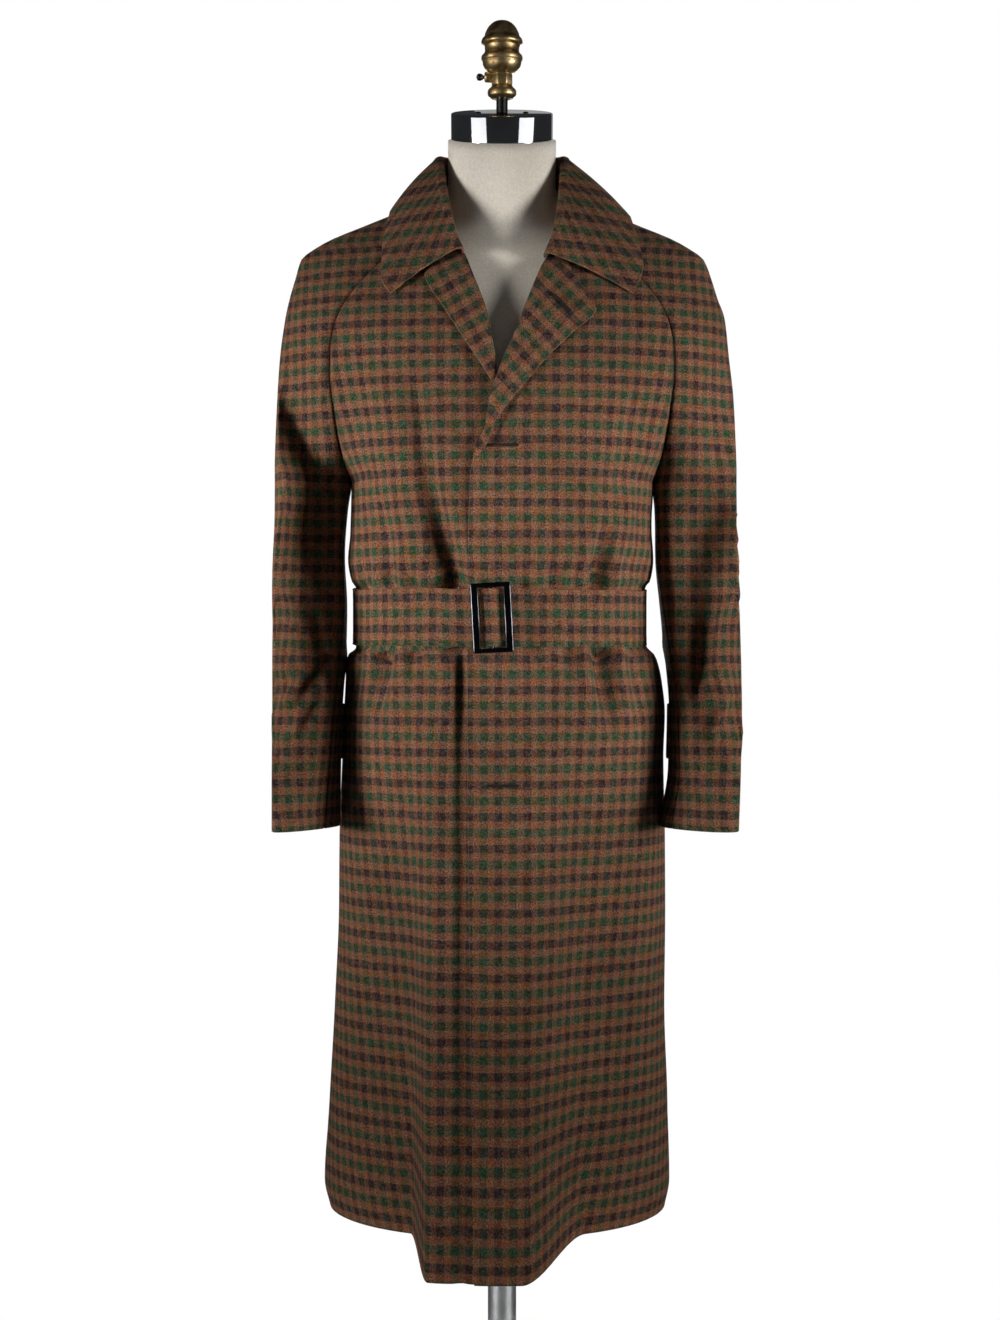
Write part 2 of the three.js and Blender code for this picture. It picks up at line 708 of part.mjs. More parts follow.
// Stations round the neck from the right gorge to the left one. Each gives the seam at the foot of the
// stand, the top of the roll, and the edge of the leaf. On the front, the edge is given by x and z and
// lies on the coat; behind the shoulder it has its own depth.
const COLLAR = [
  { foot: [-42, -87, 1470], roll: [-42, -93, 1474], edge: [-116, null, 1424] },
  { foot: [-53, -77, 1484], roll: [-50.5, -84, 1496], edge: [-125.5, null, 1438] },
  { foot: [-68, -52, 1508], roll: [-58, -62, 1530], edge: [-127, null, 1470] },
  { foot: [-75.5, -34, 1524], roll: [-63, -36, 1560], edge: [-125, null, 1498] },
  { foot: [-77, -16, 1537], roll: [-65.5, -16, 1580], edge: [-122, -24, 1520] },
  { foot: [-77, 2, 1545], roll: [-66, 3, 1590], edge: [-120, 6, 1532.5] },
  { foot: [-71, 33, 1548], roll: [-60, 33, 1595.5], edge: [-113, 52, 1527] },
  { foot: [-48, 56, 1550], roll: [-43, 54, 1598.5], edge: [-86, 98, 1511] },
  { foot: [-24, 66, 1551], roll: [-22, 63, 1600], edge: [-44, 112, 1504] },
  { foot: [0, 69, 1551], roll: [0, 66, 1600.5], edge: [0, 116, 1501] },
  { foot: [24, 66, 1551], roll: [22, 63, 1600], edge: [46, 112, 1504] },
  { foot: [48, 56, 1550], roll: [43, 54, 1598.5], edge: [92, 98, 1510] },
  { foot: [71, 33, 1548], roll: [60, 33, 1595.5], edge: [124, 52, 1521] },
  { foot: [77, 2, 1545], roll: [66, 3, 1590], edge: [137, 4, 1526.5] },
  { foot: [77, -16, 1537], roll: [65.5, -16, 1580], edge: [141, -26, 1512] },
  { foot: [75.5, -34, 1524], roll: [64.5, -36, 1560], edge: [144.5, null, 1492] },
  { foot: [69, -52, 1508], roll: [61.5, -60, 1532], edge: [148, null, 1470] },
  { foot: [58, -75, 1486], roll: [56, -82, 1498], edge: [148.5, null, 1452] },
  { foot: [46, -89, 1465], roll: [46, -95, 1469], edge: [137, null, 1425] },
];
const LEAF_LEVEL = CLOTH + 1.1; // outside of the leaf at its edge, out from the coat
const FOLD = 4.2; // radius of the collar's roll
const STATIONS_BETWEEN = 2;

// A smooth curve through the stations of one line of the collar.
function through(points) {
  const at = (i) => points[THREE.MathUtils.clamp(i, 0, points.length - 1)];
  return (t) => {
    const i = Math.min(points.length - 2, Math.floor(t));
    const u = t - i;
    const result = vector(0, 0, 0);
    const [a, b, c, d] = [at(i - 1), at(i), at(i + 1), at(i + 2)];
    result.addScaledVector(a, -0.5 * u + u * u - 0.5 * u ** 3);
    result.addScaledVector(b, 1 - 2.5 * u * u + 1.5 * u ** 3);
    result.addScaledVector(c, 0.5 * u + 2 * u * u - 1.5 * u ** 3);
    result.addScaledVector(d, -0.5 * u * u + 0.5 * u ** 3);
    return result;
  };
}

function collarProfile(foot, roll, edge) {
  const out = edge.clone().sub(roll).setZ(0).normalize();
  const tall = Math.min(1, (roll.z - foot.z) / 12);
  const shoulder = roll.clone().addScaledVector(out, 2 * FOLD).add(vector(0, 0, -FOLD * tall));
  const bulge = vector(0, 0, 1).add(out).setLength(2.5);
  const stand = roll.clone().add(vector(0, 0, -FOLD * tall));
  const leaf = [0.3, 0.6, 0.85, 1].map((t) => {
    const point = shoulder.clone().lerp(edge, t);
    return point.addScaledVector(bulge, 4 * t * (1 - t));
  });
  return [
    foot,
    foot.clone().lerp(stand, 0.5),
    stand,
    roll.clone().addScaledVector(out, FOLD * 0.35),
    roll.clone().addScaledVector(out, FOLD * 1.25).add(vector(0, 0, -FOLD * 0.12)),
    shoulder,
    ...leaf,
  ];
}

function collar() {
  const lines = { foot: [], roll: [], edge: [] };
  COLLAR.forEach(({ foot, roll, edge }) => {
    const onFront = edge[1] === null;
    lines.foot.push(vector(...foot));
    lines.roll.push(vector(...roll));
    lines.edge.push(onFront ? onCoat(edge[0], edge[2], LEAF_LEVEL) : vector(...edge));
  });
  const [foot, roll, edge] = [through(lines.foot), through(lines.roll), through(lines.edge)];
  const count = (COLLAR.length - 1) * STATIONS_BETWEEN;
  const stations = Array.from({ length: count + 1 }, (_, i) => i / STATIONS_BETWEEN);
  const profiles = stations.map((t) => collarProfile(foot(t), roll(t), edge(t)));
  const grid = profiles[0].map((_, i) => profiles.map((profile) => profile[i]));
  const normals = gridNormals(grid);
  normals.flat().forEach((n) => n.negate());
  return wall(grid, normals);
}

// ---- Belt and buckle -------------------------------------------------------------------------

// Round the waist in plan: 0 at the front centre, 1 the left side, 2 the back, 3 the right side.
function waistPoint(turn) {
  const t = ((turn % 4) + 4) % 4;
  if (t <= 1) return frontBase(t, WAIST.z);
  if (t <= 3) return backBase(t - 2, WAIST.z);
  return frontBase(t - 4, WAIST.z);
}

function waistNormal(turn) {
  const along = waistPoint(turn + 0.01).sub(waistPoint(turn - 0.01));
  return vector(along.y, -along.x, 0).normalize();
}

// The belt's middle line: first the end turned back under the buckle's bar, then once round the waist
// to the right, then under the frame, over the bar and on round the right side, over the first layer.
const BELT_LEVEL = 2.2; // middle of the first layer, out from the coat
const LAYER = 3.5; // from the first layer to the loose end over it
const BELT_FIXED = [
  { x: -16, level: 2.1 },
  { x: -13, level: 2.1 },
];
const BELT_RISE = [
  { x: -14, level: 7.4 },
  { x: -20, level: 5.3 },
  { x: -28, level: 3.6 },
  { x: -38, level: 2.5 },
  { x: -50, level: BELT_LEVEL },
];
const BELT_TONGUE = [
  { x: 30, level: BELT_LEVEL },
  { x: 22, level: 3.4 },
  { x: 14, level: 6.2 },
  { x: 7.5, level: 7.6 },
  { x: 3, level: 8.3 },
  { x: -1, level: 9.5 },
  { x: -5, level: 11.2 },
  { x: -10, level: 12.2 },
  { x: -14, level: 11 },
  { x: -20, level: 8.8 },
  { x: -28, level: 7.2 },
  { x: -38, level: 6 },
  { x: -50, level: BELT_LEVEL + LAYER },
];
const BAR_WRAP = 6; // steps of the turn round the bar
const WRAP_RADIUS = 3.3;
const TONGUE_END = 2.72; // where the loose end stops, behind the right side

function turnAt(x) {
  const across = frontPlace(x, WAIST.z);
  return across < 0 ? across + 4 : across;
}

function belt() {
  const shear = Math.tan(radians(BUCKLE.tilt));
  const place = ({ x, level }, lift = 0) => ({ turn: turnAt(x), level, lift });
  const wrap = Array.from({ length: BAR_WRAP + 1 }, (_, i) => {
    const angle = radians(-90 + (180 * i) / BAR_WRAP);
    return place({ x: BUCKLE.x + WRAP_RADIUS * Math.cos(angle), level: BAR.level + WRAP_RADIUS * Math.sin(angle) });
  });
  const start = turnAt(-50);
  const round = Array.from({ length: 42 }, (_, i) => mix(start, turnAt(30), (i + 1) / 43));
  const first = round.map((turn) => ({ turn, level: BELT_LEVEL, lift: -2.2 * ease((turn - 2.4) / 0.5) * ease((4 - turn) / 0.3) }));
  const loose = Array.from({ length: 15 }, (_, i) => mix(start, TONGUE_END, (i + 1) / 15));
  const last = loose.map((turn) => ({ turn, level: BELT_LEVEL + LAYER, lift: 1.2 * ease((4 - turn) / 0.3) }));
  const path = [
    ...BELT_FIXED.map((p) => place(p)),
    ...wrap,
    ...BELT_RISE.map((p) => place(p)),
    ...first,
    ...BELT_TONGUE.map((p) => place(p)),
    ...last,
  ];
  const line = path.map(({ turn, level }) => waistPoint(turn).addScaledVector(waistNormal(turn), level));
  const sides = line.map((_, i) => {
    const before = line[Math.max(0, i - 1)];
    const after = line[Math.min(line.length - 1, i + 1)];
    return vector(after.y - before.y, before.x - after.x, 0).normalize();
  });
  const rows = [-0.5, 0.5].map((end) =>
    line.map((p, i) => {
      const near = 1 - ease((Math.abs(p.x - BUCKLE.x) - 24) / 30);
      const middle = mix(WAIST.z + 3, BUCKLE.z, ease((60 - p.y) / 120));
      const rise = end * WAIST.width;
      const front = p.y < 0 ? near : 0;
      const shifted = vector(p.x - shear * rise * front, p.y, middle + rise + path[i].lift * (1 - front));
      return shifted.addScaledVector(sides[i], WAIST.thickness / 2);
    }),
  );
  return wall(rows, [sides, sides], WAIST.thickness);
}

function roundedRectangle(shape, width, height, radius) {
  const [x, y] = [width / 2, height / 2];
  shape.moveTo(x, radius - y);
  shape.lineTo(x, y - radius);
  shape.absarc(x - radius, y - radius, radius, 0, Math.PI / 2, false);
  shape.lineTo(radius - x, y);
  shape.absarc(radius - x, y - radius, radius, Math.PI / 2, Math.PI, false);
  shape.lineTo(-x, radius - y);
  shape.absarc(radius - x, radius - y, radius, Math.PI, 1.5 * Math.PI, false);
  shape.lineTo(x - radius, -y);
  shape.absarc(x - radius, radius - y, radius, 1.5 * Math.PI, 2 * Math.PI, false);
  return shape;
}

// The buckle: a flat bevelled frame, and a round bar behind it on two lugs.
function buckle() {
  const { width, height, side, rail, depth } = BUCKLE;
  const bevel = 0.8;
  const frame = roundedRectangle(new THREE.Shape(), width - 2 * bevel, height - 2 * bevel, 1.2);
  const hole = roundedRectangle(new THREE.Path(), width - 2 * side + 2 * bevel, height - 2 * rail + 2 * bevel, 1);
  frame.holes.push(hole);
  const options = {
    depth: depth - 2 * bevel,
    bevelThickness: bevel,
    bevelSize: bevel,
    bevelSegments: 1,
    curveSegments: 2,
  };
  const face = new THREE.ExtrudeGeometry(frame, options);
  face.translate(0, 0, BUCKLE_LEVEL + bevel);
  const inside = height / 2 - rail;
  const bar = new THREE.CylinderGeometry(BAR.radius, BAR.radius, 2 * inside + 4, 12);
  bar.translate(0, 0, BAR.level);
  const lugs = [-1, 1].map((end) => {
    const low = BAR.level - BAR.radius;
    const lug = new THREE.BoxGeometry(5, rail - 1, BUCKLE_LEVEL + 2 - low);
    return lug.translate(0, end * (inside + rail / 2), (BUCKLE_LEVEL + 2 + low) / 2);
  });
  const whole = joined([face, bar, ...lugs]);
  const [seat, facing] = [waistPoint(turnAt(BUCKLE.x)), waistNormal(turnAt(BUCKLE.x))];
  whole.rotateX(Math.PI / 2);
  whole.rotateY(radians(-BUCKLE.tilt));
  whole.rotateZ(Math.atan2(facing.x, -facing.y));
  whole.translate(seat.x, seat.y, BUCKLE.z);
  return whole;
}

// ---- Cuff straps -----------------------------------------------------------------------------

const STRAP = { low: 931, high: 990, thickness: 2.6, clear: 0.6 };

// Where the strap's point and its shoulders are round the arm; the rest follows the sleeve's columns.
const STRAP_START = {
  right: { point: 0.565, shoulder: 0.595, from: 2 },
  left: { point: 0.435, shoulder: OVERARM_SEAM, from: 0 },
};
const STRAP_NOSE = 0.006; // how far the strap's blunt corners reach past its shoulders, round the arm

// A strap on the outside and back of a sleeve, made from the sleeve's points, with a pointed end.
function cuffStrap(side) {
  const level = STRAP.thickness + STRAP.clear;
  const { point, shoulder, from } = STRAP_START[side];
  const columns = sleeveColumns(OVERARM_SEAM, 1, BACK_COLUMNS).slice(from, -1);
  const heights = [0, 0.5, 1].map((t) => mix(STRAP.low, STRAP.high, t));
  const grid = heights.map((z, i) =>
    [i === 1 ? point : shoulder - STRAP_NOSE, ...columns].map((around) =>
      ARM[side](around, z).addScaledVector(armNormal(side, around, z), level),
    ),
  );
  const normals = gridNormals(grid);
  if (side === "right") normals.flat().forEach((n) => n.negate());
  return wall(grid, normals, STRAP.thickness);
}

// ---- The dress form --------------------------------------------------------------------------

// Rings of the torso: half width, depth before and behind, and how round the ring is (2 an ellipse).
const FORM = sections(
  ["half", "front", "back", "round"],
  [
    [790, 148, 104, 112, 2.3],
    [840, 156, 110, 120, 2.3],
    [900, 158, 114, 120, 2.3],
    [980, 154, 114, 110, 2.3],
    [1085, 146, 114, 92, 2.3],
    [1180, 149, 126, 104, 2.3],
    [1240, 152, 133, 112, 2.25],
    [1290, 168, 134, 117, 2.2],
    [1330, 189, 127, 119, 2.1],
    [1400, 194, 105, 114, 2],
    [1450, 194, 84, 103, 1.9],
    [1475, 192, 70, 94, 1.8],
    [1497.4, 184, 54, 80, 1.6],
    [1508.4, 158, 44, 72, 1.5],
    [1519.4, 131, 33, 60, 1.5],
    [1530.4, 104, 21, 46, 1.6],
    [1541, 71, 12, 30, 2],
    [1556, 44, 14, 22, 2],
  ],
);
const FORM_ROWS = [
  790, 815, 900, 980, 1085, 1180, 1240, 1290, 1330, 1365, 1400, 1450, 1475, 1497.4, 1508.4, 1519.4, 1530.4, 1541, 1552,
  1580, 1606,
];
const FORM_NECK = { half: 57.5, front: 55, back: 58 };
const NECK_FROM = 1470; // the neck rises out of the shoulders above this height

// The shoulders are a thin wing on each side of the neck, which pushes each ring out to its own round.
function formRing(z, tilt) {
  const power = 2 / FORM.round(z);
  return Array.from({ length: FORM_RING }, (_, i) => {
    const angle = (2 * Math.PI * i) / FORM_RING;
    const [c, s] = [Math.cos(angle), Math.sin(angle)];
    const depth = s < 0 ? FORM.front(z) : FORM.back(z);
    const neck = s < 0 ? FORM_NECK.front : FORM_NECK.back;
    const x = FORM.half(z) * Math.sign(c) * Math.abs(c) ** power;
    const y = depth * Math.sign(s) * Math.abs(s) ** power;
    const inside = Math.hypot(x / FORM_NECK.half, y / neck);
    const push = z > NECK_FROM ? (1 + inside ** -6) ** (1 / 6) : 1;
    return vector(x * push, y * push, z + tilt * y * push);
  });
}

const neckSlope = Math.tan(radians(NECK_TILT));
const capFoot = CAP.z - CAP.height / 2 / Math.cos(radians(NECK_TILT));

function formTorso() {
  const rings = FORM_ROWS.map((z) => formRing(z, neckSlope * ease((z - 1530) / 70)));
  const top = capFoot - SEAT / Math.cos(radians(NECK_TILT));
  rings.at(-1).forEach((p) => p.setZ(top + neckSlope * p.y));
  return loft(rings);
}

function neckCap() {
  const [half, edge] = [CAP.height / 2, CAP.edge];
  const profile = [
    [0, -half],
    [CAP.radius - edge, -half],
    [CAP.radius, edge - half],
    [CAP.radius, half - edge],
    [CAP.radius - edge, half],
    [0, half],
  ];
  const cap = turned(profile, 40);
  return cap.rotateX(radians(NECK_TILT)).translate(0, 0, CAP.z);
}

// ---- Rod, finial, thumbscrew and stand -------------------------------------------------------

const capTop = CAP.z + CAP.height / 2 / Math.cos(radians(NECK_TILT));

// The rod's foot is cut to the slope of the neck cap.
function finialRod() {
  const count = 16;
  const ring = (height) =>
    Array.from({ length: count }, (_, i) => {
      const angle = (2 * Math.PI * i) / count;
      const [x, y] = [ROD.radius * Math.cos(angle), ROD.radius * Math.sin(angle)];
      return vector(x, y, height(y));
    });
  return loft([ring((y) => capTop + SEAT + neckSlope * y), ring(() => ROD.top - SEAT)]);
}

const FINIAL = [
  [0, 1656],
  [12, 1656],
  [15.6, 1661],
  [15.6, 1664.5],
  [11.5, 1669],
  [10.6, 1674],
  [10.7, 1682],
  [16.5, 1686],
  [20, 1690],
  [21.6, 1695],
  [22.4, 1698.5],
  [22.4, 1702],
  [20, 1705],
  [19, 1711],
  [20, 1714],
  [22.4, 1716.5],
  [22.4, 1720],
  [19.6, 1723.5],
  [16.5, 1732],
  [9, 1740],
  [0, 1742],
];
const finial = () => turned(FINIAL, 24);

function thumbscrew() {
  const profile = [
    [0, 11.4],
    [1.9, 11.4],
    [1.9, 19],
    [3.4, 20.5],
    [3.4, 27],
    [2.4, 28.5],
    [0, 28.5],
  ];
  return turned(profile, 12).rotateY(-Math.PI / 2).translate(0, 0, 1679);
}

const standPole = () =>
  turned(
    [
      [0, BASE.hubTop + SEAT],
      [POLE_RADIUS, BASE.hubTop + SEAT],
      [POLE_RADIUS, 790 - SEAT],
      [0, 790 - SEAT],
    ],
    24,
  );

const standBase = () =>
  turned(
    [
      [0, 0],
      [BASE.radius - 1.5, 0],
      [BASE.radius, 1.5],
      [BASE.radius, BASE.thickness - 3],
      [BASE.radius - 4, BASE.thickness],
      [BASE.hub + 8, BASE.thickness + 6],
      [BASE.hub, BASE.thickness + 14],
      [BASE.hub - 6, BASE.hubTop],
      [0, BASE.hubTop],
    ],
    40,
  );

// ---- The whole -------------------------------------------------------------------------------

const WOOL = { color: 0x6b4529, roughness: 0.95, metalness: 0 };
const CANVAS = { color: 0xd9d0c0, roughness: 0.9, metalness: 0 };
const CHROME = { color: 0xd5d8da, roughness: 0.08, metalness: 1 };
const BRASS = { color: 0x94743f, roughness: 0.42, metalness: 1 };
const GUNMETAL = { color: 0x1c1a1b, roughness: 0.2, metalness: 0.9 };
const STEEL = { color: 0x4b4c4e, roughness: 0.4, metalness: 1 };

const group = new THREE.Group();

function add(name, geometry, finish) {
  const mesh = new THREE.Mesh(geometry, new THREE.MeshStandardMaterial(finish));
  mesh.name = name;
  group.add(mesh);
}

add("left_front", leftFront(), WOOL);
add("right_front", rightFront(), WOOL);
add("back", back(), WOOL);
for (const side of ["left", "right"]) {
  add(`${side}_sleeve_front`, sleeveFront(side), WOOL);
  add(`${side}_sleeve_back`, sleeveBack(side), WOOL);
  add(`${side}_lapel`, lapel(side), WOOL);
  add(`${side}_cuff_strap`, cuffStrap(side), WOOL);
}
add("collar", collar(), WOOL);
add("belt", belt(), WOOL);
add("buckle", buckle(), GUNMETAL);
add("form_torso", formTorso(), CANVAS);
add("neck_cap", neckCap(), CHROME);
add("finial_rod", finialRod(), STEEL);
add("finial", finial(), BRASS);
add("thumbscrew", thumbscrew(), BRASS);
add("stand_pole", standPole(), STEEL);
add("stand_base", standBase(), STEEL);

export default group;
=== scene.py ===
# %% [markdown]
# # A belted raglan overcoat on a dress form
# The coat hangs on a limbless tailor's form. The measured model comes first as a fixed frame, and
# the pieces made here take the place of its plain solids. Lengths in this file are millimetres, as on a
# cutting table, and MM turns them into Blender's metres.

import json
import math

import bmesh
import bpy
import numpy as np
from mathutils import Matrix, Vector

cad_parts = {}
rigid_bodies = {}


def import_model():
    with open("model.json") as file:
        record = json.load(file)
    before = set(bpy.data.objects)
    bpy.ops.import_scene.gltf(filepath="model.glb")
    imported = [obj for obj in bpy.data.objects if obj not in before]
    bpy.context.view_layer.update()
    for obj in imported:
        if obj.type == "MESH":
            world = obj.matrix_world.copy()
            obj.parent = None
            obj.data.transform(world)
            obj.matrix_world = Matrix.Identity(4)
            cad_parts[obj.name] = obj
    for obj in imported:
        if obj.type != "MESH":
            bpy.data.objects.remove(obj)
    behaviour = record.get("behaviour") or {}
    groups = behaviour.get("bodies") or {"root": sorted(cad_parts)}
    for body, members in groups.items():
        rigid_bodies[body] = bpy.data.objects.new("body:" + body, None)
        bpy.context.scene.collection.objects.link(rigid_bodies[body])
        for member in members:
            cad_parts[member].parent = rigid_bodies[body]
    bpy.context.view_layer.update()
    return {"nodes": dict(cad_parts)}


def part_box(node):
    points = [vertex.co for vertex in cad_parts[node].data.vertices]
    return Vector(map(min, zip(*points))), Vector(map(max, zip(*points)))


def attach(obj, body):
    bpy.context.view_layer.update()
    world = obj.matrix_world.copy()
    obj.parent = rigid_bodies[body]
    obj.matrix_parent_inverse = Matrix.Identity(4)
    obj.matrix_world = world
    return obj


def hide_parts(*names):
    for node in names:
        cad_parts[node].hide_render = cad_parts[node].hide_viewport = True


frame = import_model()
MM = 0.001
print("nodes in the frame:", len(frame["nodes"]))

# %% [markdown]
# ## Light and camera
# A coat is shown in a studio between two soft boxes, one on each side of the lens, with white paper far
# behind it. Each box has a grid, so its light is strongest on the chest and dies away towards the hem,
# and the sleeves fall dark on their inner sides. Other lamps fill the front, the top, the back and the
# floor. Two tall white panels light the metal alone, which shows them as white bars. The paper is the
# world's colour as the lens sees it, and the room itself is dim.

# %% Camera
CAMERA_AT = (-2.2, -2600, 1038)
VIEW_HEIGHT = 1452  # what the frame takes in at the form's axis

lens = bpy.data.cameras.new("lens")
lens.sensor_fit = "VERTICAL"
lens.angle = 2 * math.atan(VIEW_HEIGHT / 2 / -CAMERA_AT[1])
camera = bpy.data.objects.new("camera", lens)
camera.location = [value * MM for value in CAMERA_AT]
camera.rotation_euler = (math.radians(90), 0, 0)
bpy.context.scene.collection.objects.link(camera)
bpy.context.scene.camera = camera
bpy.context.scene.view_settings.view_transform = "Standard"
print("view angle:", round(math.degrees(lens.angle), 1))


# %% Two small helpers for nodes and colours
def linear(hexcode):
    """A colour as painted on a screen, turned into light."""
    parts = [int(hexcode[i : i + 2], 16) / 255 for i in (1, 3, 5)]
    light = [p / 12.92 if p <= 0.04045 else ((p + 0.055) / 1.055) ** 2.4 for p in parts]
    return (*light, 1.0)


def put(tree, kind, inputs=None, **settings):
    """One node: its settings, then its inputs, each a value or another node's socket."""
    new = tree.nodes.new(kind)
    for name, value in settings.items():
        setattr(new, name, value)
    for key, value in (inputs or {}).items():
        if isinstance(value, bpy.types.NodeSocket):
            tree.links.new(value, new.inputs[key])
        else:
            new.inputs[key].default_value = value
    return new


# %% The room
ROOM = 0.04  # how bright the room is beside the paper
world = bpy.data.worlds.new("studio")
world.use_nodes = True
tree = world.node_tree
tree.nodes.clear()
paper = put(tree, "ShaderNodeBackground", {"Color": linear("#ffffff"), "Strength": 1.0})
room = put(tree, "ShaderNodeBackground", {"Color": linear("#f2f4f8"), "Strength": ROOM})
ray = put(tree, "ShaderNodeLightPath")
seen = ray.outputs["Is Camera Ray"]
both = put(tree, "ShaderNodeMixShader", {0: seen, 1: room.outputs[0], 2: paper.outputs[0]})
put(tree, "ShaderNodeOutputWorld", {"Surface": both.outputs[0]})
bpy.context.scene.world = world

# name, azimuth from the lens, distance, height of its middle, height it aims at, width, height,
# spread of its grid in degrees, watts, and what it lights: all, what is matt (cloth) or what shines (metal)
LAMPS = [
    ("grid_box_right", -62, 2300, 1080, 1165, 700, 600, 35, 3.5, "all"),
    ("grid_box_left", 62, 2300, 1080, 1165, 700, 600, 35, 3.3, "all"),
    ("front_fill", 4, 2700, 1250, 1150, 1600, 1000, 180, 1.1, "cloth"),
    ("overhead_box", 165, 2600, 2300, 1500, 1500, 1000, 120, 0.7, "all"),
    ("back_box", 180, 2600, 1250, 1150, 1500, 1500, 80, 13, "all"),
    ("floor_box_right", -60, 1900, 900, -700, 900, 500, 60, 6, "cloth"),
    ("floor_box_left", 60, 1900, 900, -700, 900, 500, 60, 6, "cloth"),
    ("floor_box_back", 180, 1900, 900, -700, 900, 500, 60, 6, "cloth"),
    ("white_panel_right", -54, 2300, 1000, 1000, 1500, 2100, 180, 21, "metal"),
    ("white_panel_left", 57, 2300, 1000, 1000, 1500, 2100, 180, 21, "metal"),
]
for name, azimuth, distance, height, aim, width, tall, spread, watts, purpose in LAMPS:
    light = bpy.data.lights.new(name, "AREA")
    light.shape = "RECTANGLE"
    light.size = width * MM
    light.size_y = tall * MM
    light.spread = math.radians(spread)
    light.energy = watts
    lamp = bpy.data.objects.new(name, light)
    turn = math.radians(azimuth)
    lamp.location = (distance * math.sin(turn) * MM, -distance * math.cos(turn) * MM, height * MM)
    tip = math.atan2(height - aim, distance)
    lamp.rotation_euler = (math.radians(90) - tip, 0, turn)
    lamp.visible_diffuse = purpose != "metal"
    lamp.visible_glossy = purpose != "cloth"
    lamp.visible_camera = False
    bpy.context.scene.collection.objects.link(lamp)
print("lamps:", len(LAMPS))

# %% The floor
FLOOR_RADIUS, FLOOR_LEVEL = 950, -0.6
bpy.ops.object.select_all(action="DESELECT")
floor_at = (0, 0, FLOOR_LEVEL * MM)
bpy.ops.mesh.primitive_circle_add(vertices=96, radius=FLOOR_RADIUS * MM, fill_type="NGON", location=floor_at)
floor = bpy.context.object
floor.name = "floor"
floor_paint = bpy.data.materials.new("pale_matt_floor")
floor_paint.use_nodes = True
skin = floor_paint.node_tree.nodes["Principled BSDF"]
skin.inputs["Base Color"].default_value = linear("#dcdbd8")
skin.inputs["Roughness"].default_value = 0.7
floor.data.materials.append(floor_paint)
print("floor:", floor.name)

# %% [markdown]
# ## The cloth
# The cloth is a napped woollen twill in a shepherd's check with two over-colours: on a rust ground,
# stripes of dark green and of dark plum follow each other both along the cloth (the warp) and across it
# (the weft). Where a stripe crosses the ground the two yarns show half and half, and where two stripes
# cross the square is darkest. That is how it is painted here: one set of stripes for the warp, one for
# the weft, and a diagonal twill that decides which of the two yarns lies on top. The real twill is finer
# than the camera can see, so it is drawn about twice as coarse. The pattern reads each piece's own
# map, laid out in metres of cloth, so that it follows the panel as it was cut.

# %% Wool
WARP_REPEAT, WEFT_REPEAT = 30.2, 32.6
TWILL = 2.4
WEFT_SHARE = 0.57  # the weft is the bulkier yarn, so its stripes show more
STRAY, FUZZ = 3.0, 4.5  # how far the yarns wander, and how far the nap smears them
RUST_WARP, RUST_WEFT, TAN = "#775441", "#815945", "#67604a"
WARP_GREEN, WARP_PLUM = "#233c2c", "#261f24"
WEFT_GREEN, WEFT_PLUM = "#274736", "#2e292f"
RED, OCHRE = "#ffdcd8", "#fff4d6"  # thin tints: some yarns are redder, some yellower
EDGE_TAN, SEAM_SHADE = "#7d6550", "#1c1512"  # a pressed edge, and painted shade in the bottom of a seam


def ranged(tree, value, low, high, start, end):
    """One number moved from one range to another."""
    return put(tree, "ShaderNodeMapRange", {"Value": value, 1: low, 2: high, 3: start, 4: end}).outputs[0]


def reckon(tree, operation, *numbers):
    """One sum with numbers, each a value or a socket."""
    return put(tree, "ShaderNodeMath", dict(enumerate(numbers)), operation=operation).outputs[0]


def noise(tree, place, scale, detail, roughness=0.5):
    """A soft pattern of blots, about this many to a metre."""
    values = {"Vector": place, "Scale": scale, "Detail": detail, "Roughness": roughness}
    return put(tree, "ShaderNodeTexNoise", values)


def blend(tree, share, first, second, way="MIX"):
    """Some of a second colour in a first one."""
    colours = {0: share, 6: first, 7: second}
    return put(tree, "ShaderNodeMix", colours, data_type="RGBA", blend_type=way).outputs[2]


def strayed(tree, pattern, reach):
    """A pattern's colour as a small step to any side, in the map's own metres."""
    centred = put(tree, "ShaderNodeVectorMath", {0: pattern, 1: (0.5, 0.5, 0.5)}, operation="SUBTRACT")
    step = put(tree, "ShaderNodeVectorMath", {0: centred.outputs[0], "Scale": reach * MM}, operation="SCALE")
    return step.outputs[0]


def stripes(tree, along, repeat, ground, first, second):
    """Ground, stripe, ground, other stripe, each near a quarter of the repeat, with soft edges."""
    place = reckon(tree, "FRACT", reckon(tree, "MULTIPLY", along, 1000 / repeat))
    ramp = put(tree, "ShaderNodeValToRGB", {"Fac": place})
    soft = 0.02
    stops = [(0.0, ground), (0.24 - soft, ground), (0.24 + soft, first), (0.51 - soft, first)]
    stops += [(0.51 + soft, ground), (0.74 - soft, ground), (0.74 + soft, second), (1.0 - soft, second)]
    elements = ramp.color_ramp.elements
    while len(elements) < len(stops):
        elements.new(0.5)
    for element, (position, colour) in zip(elements, stops):
        element.position = position
        element.color = linear(colour)
    return ramp.outputs["Color"]


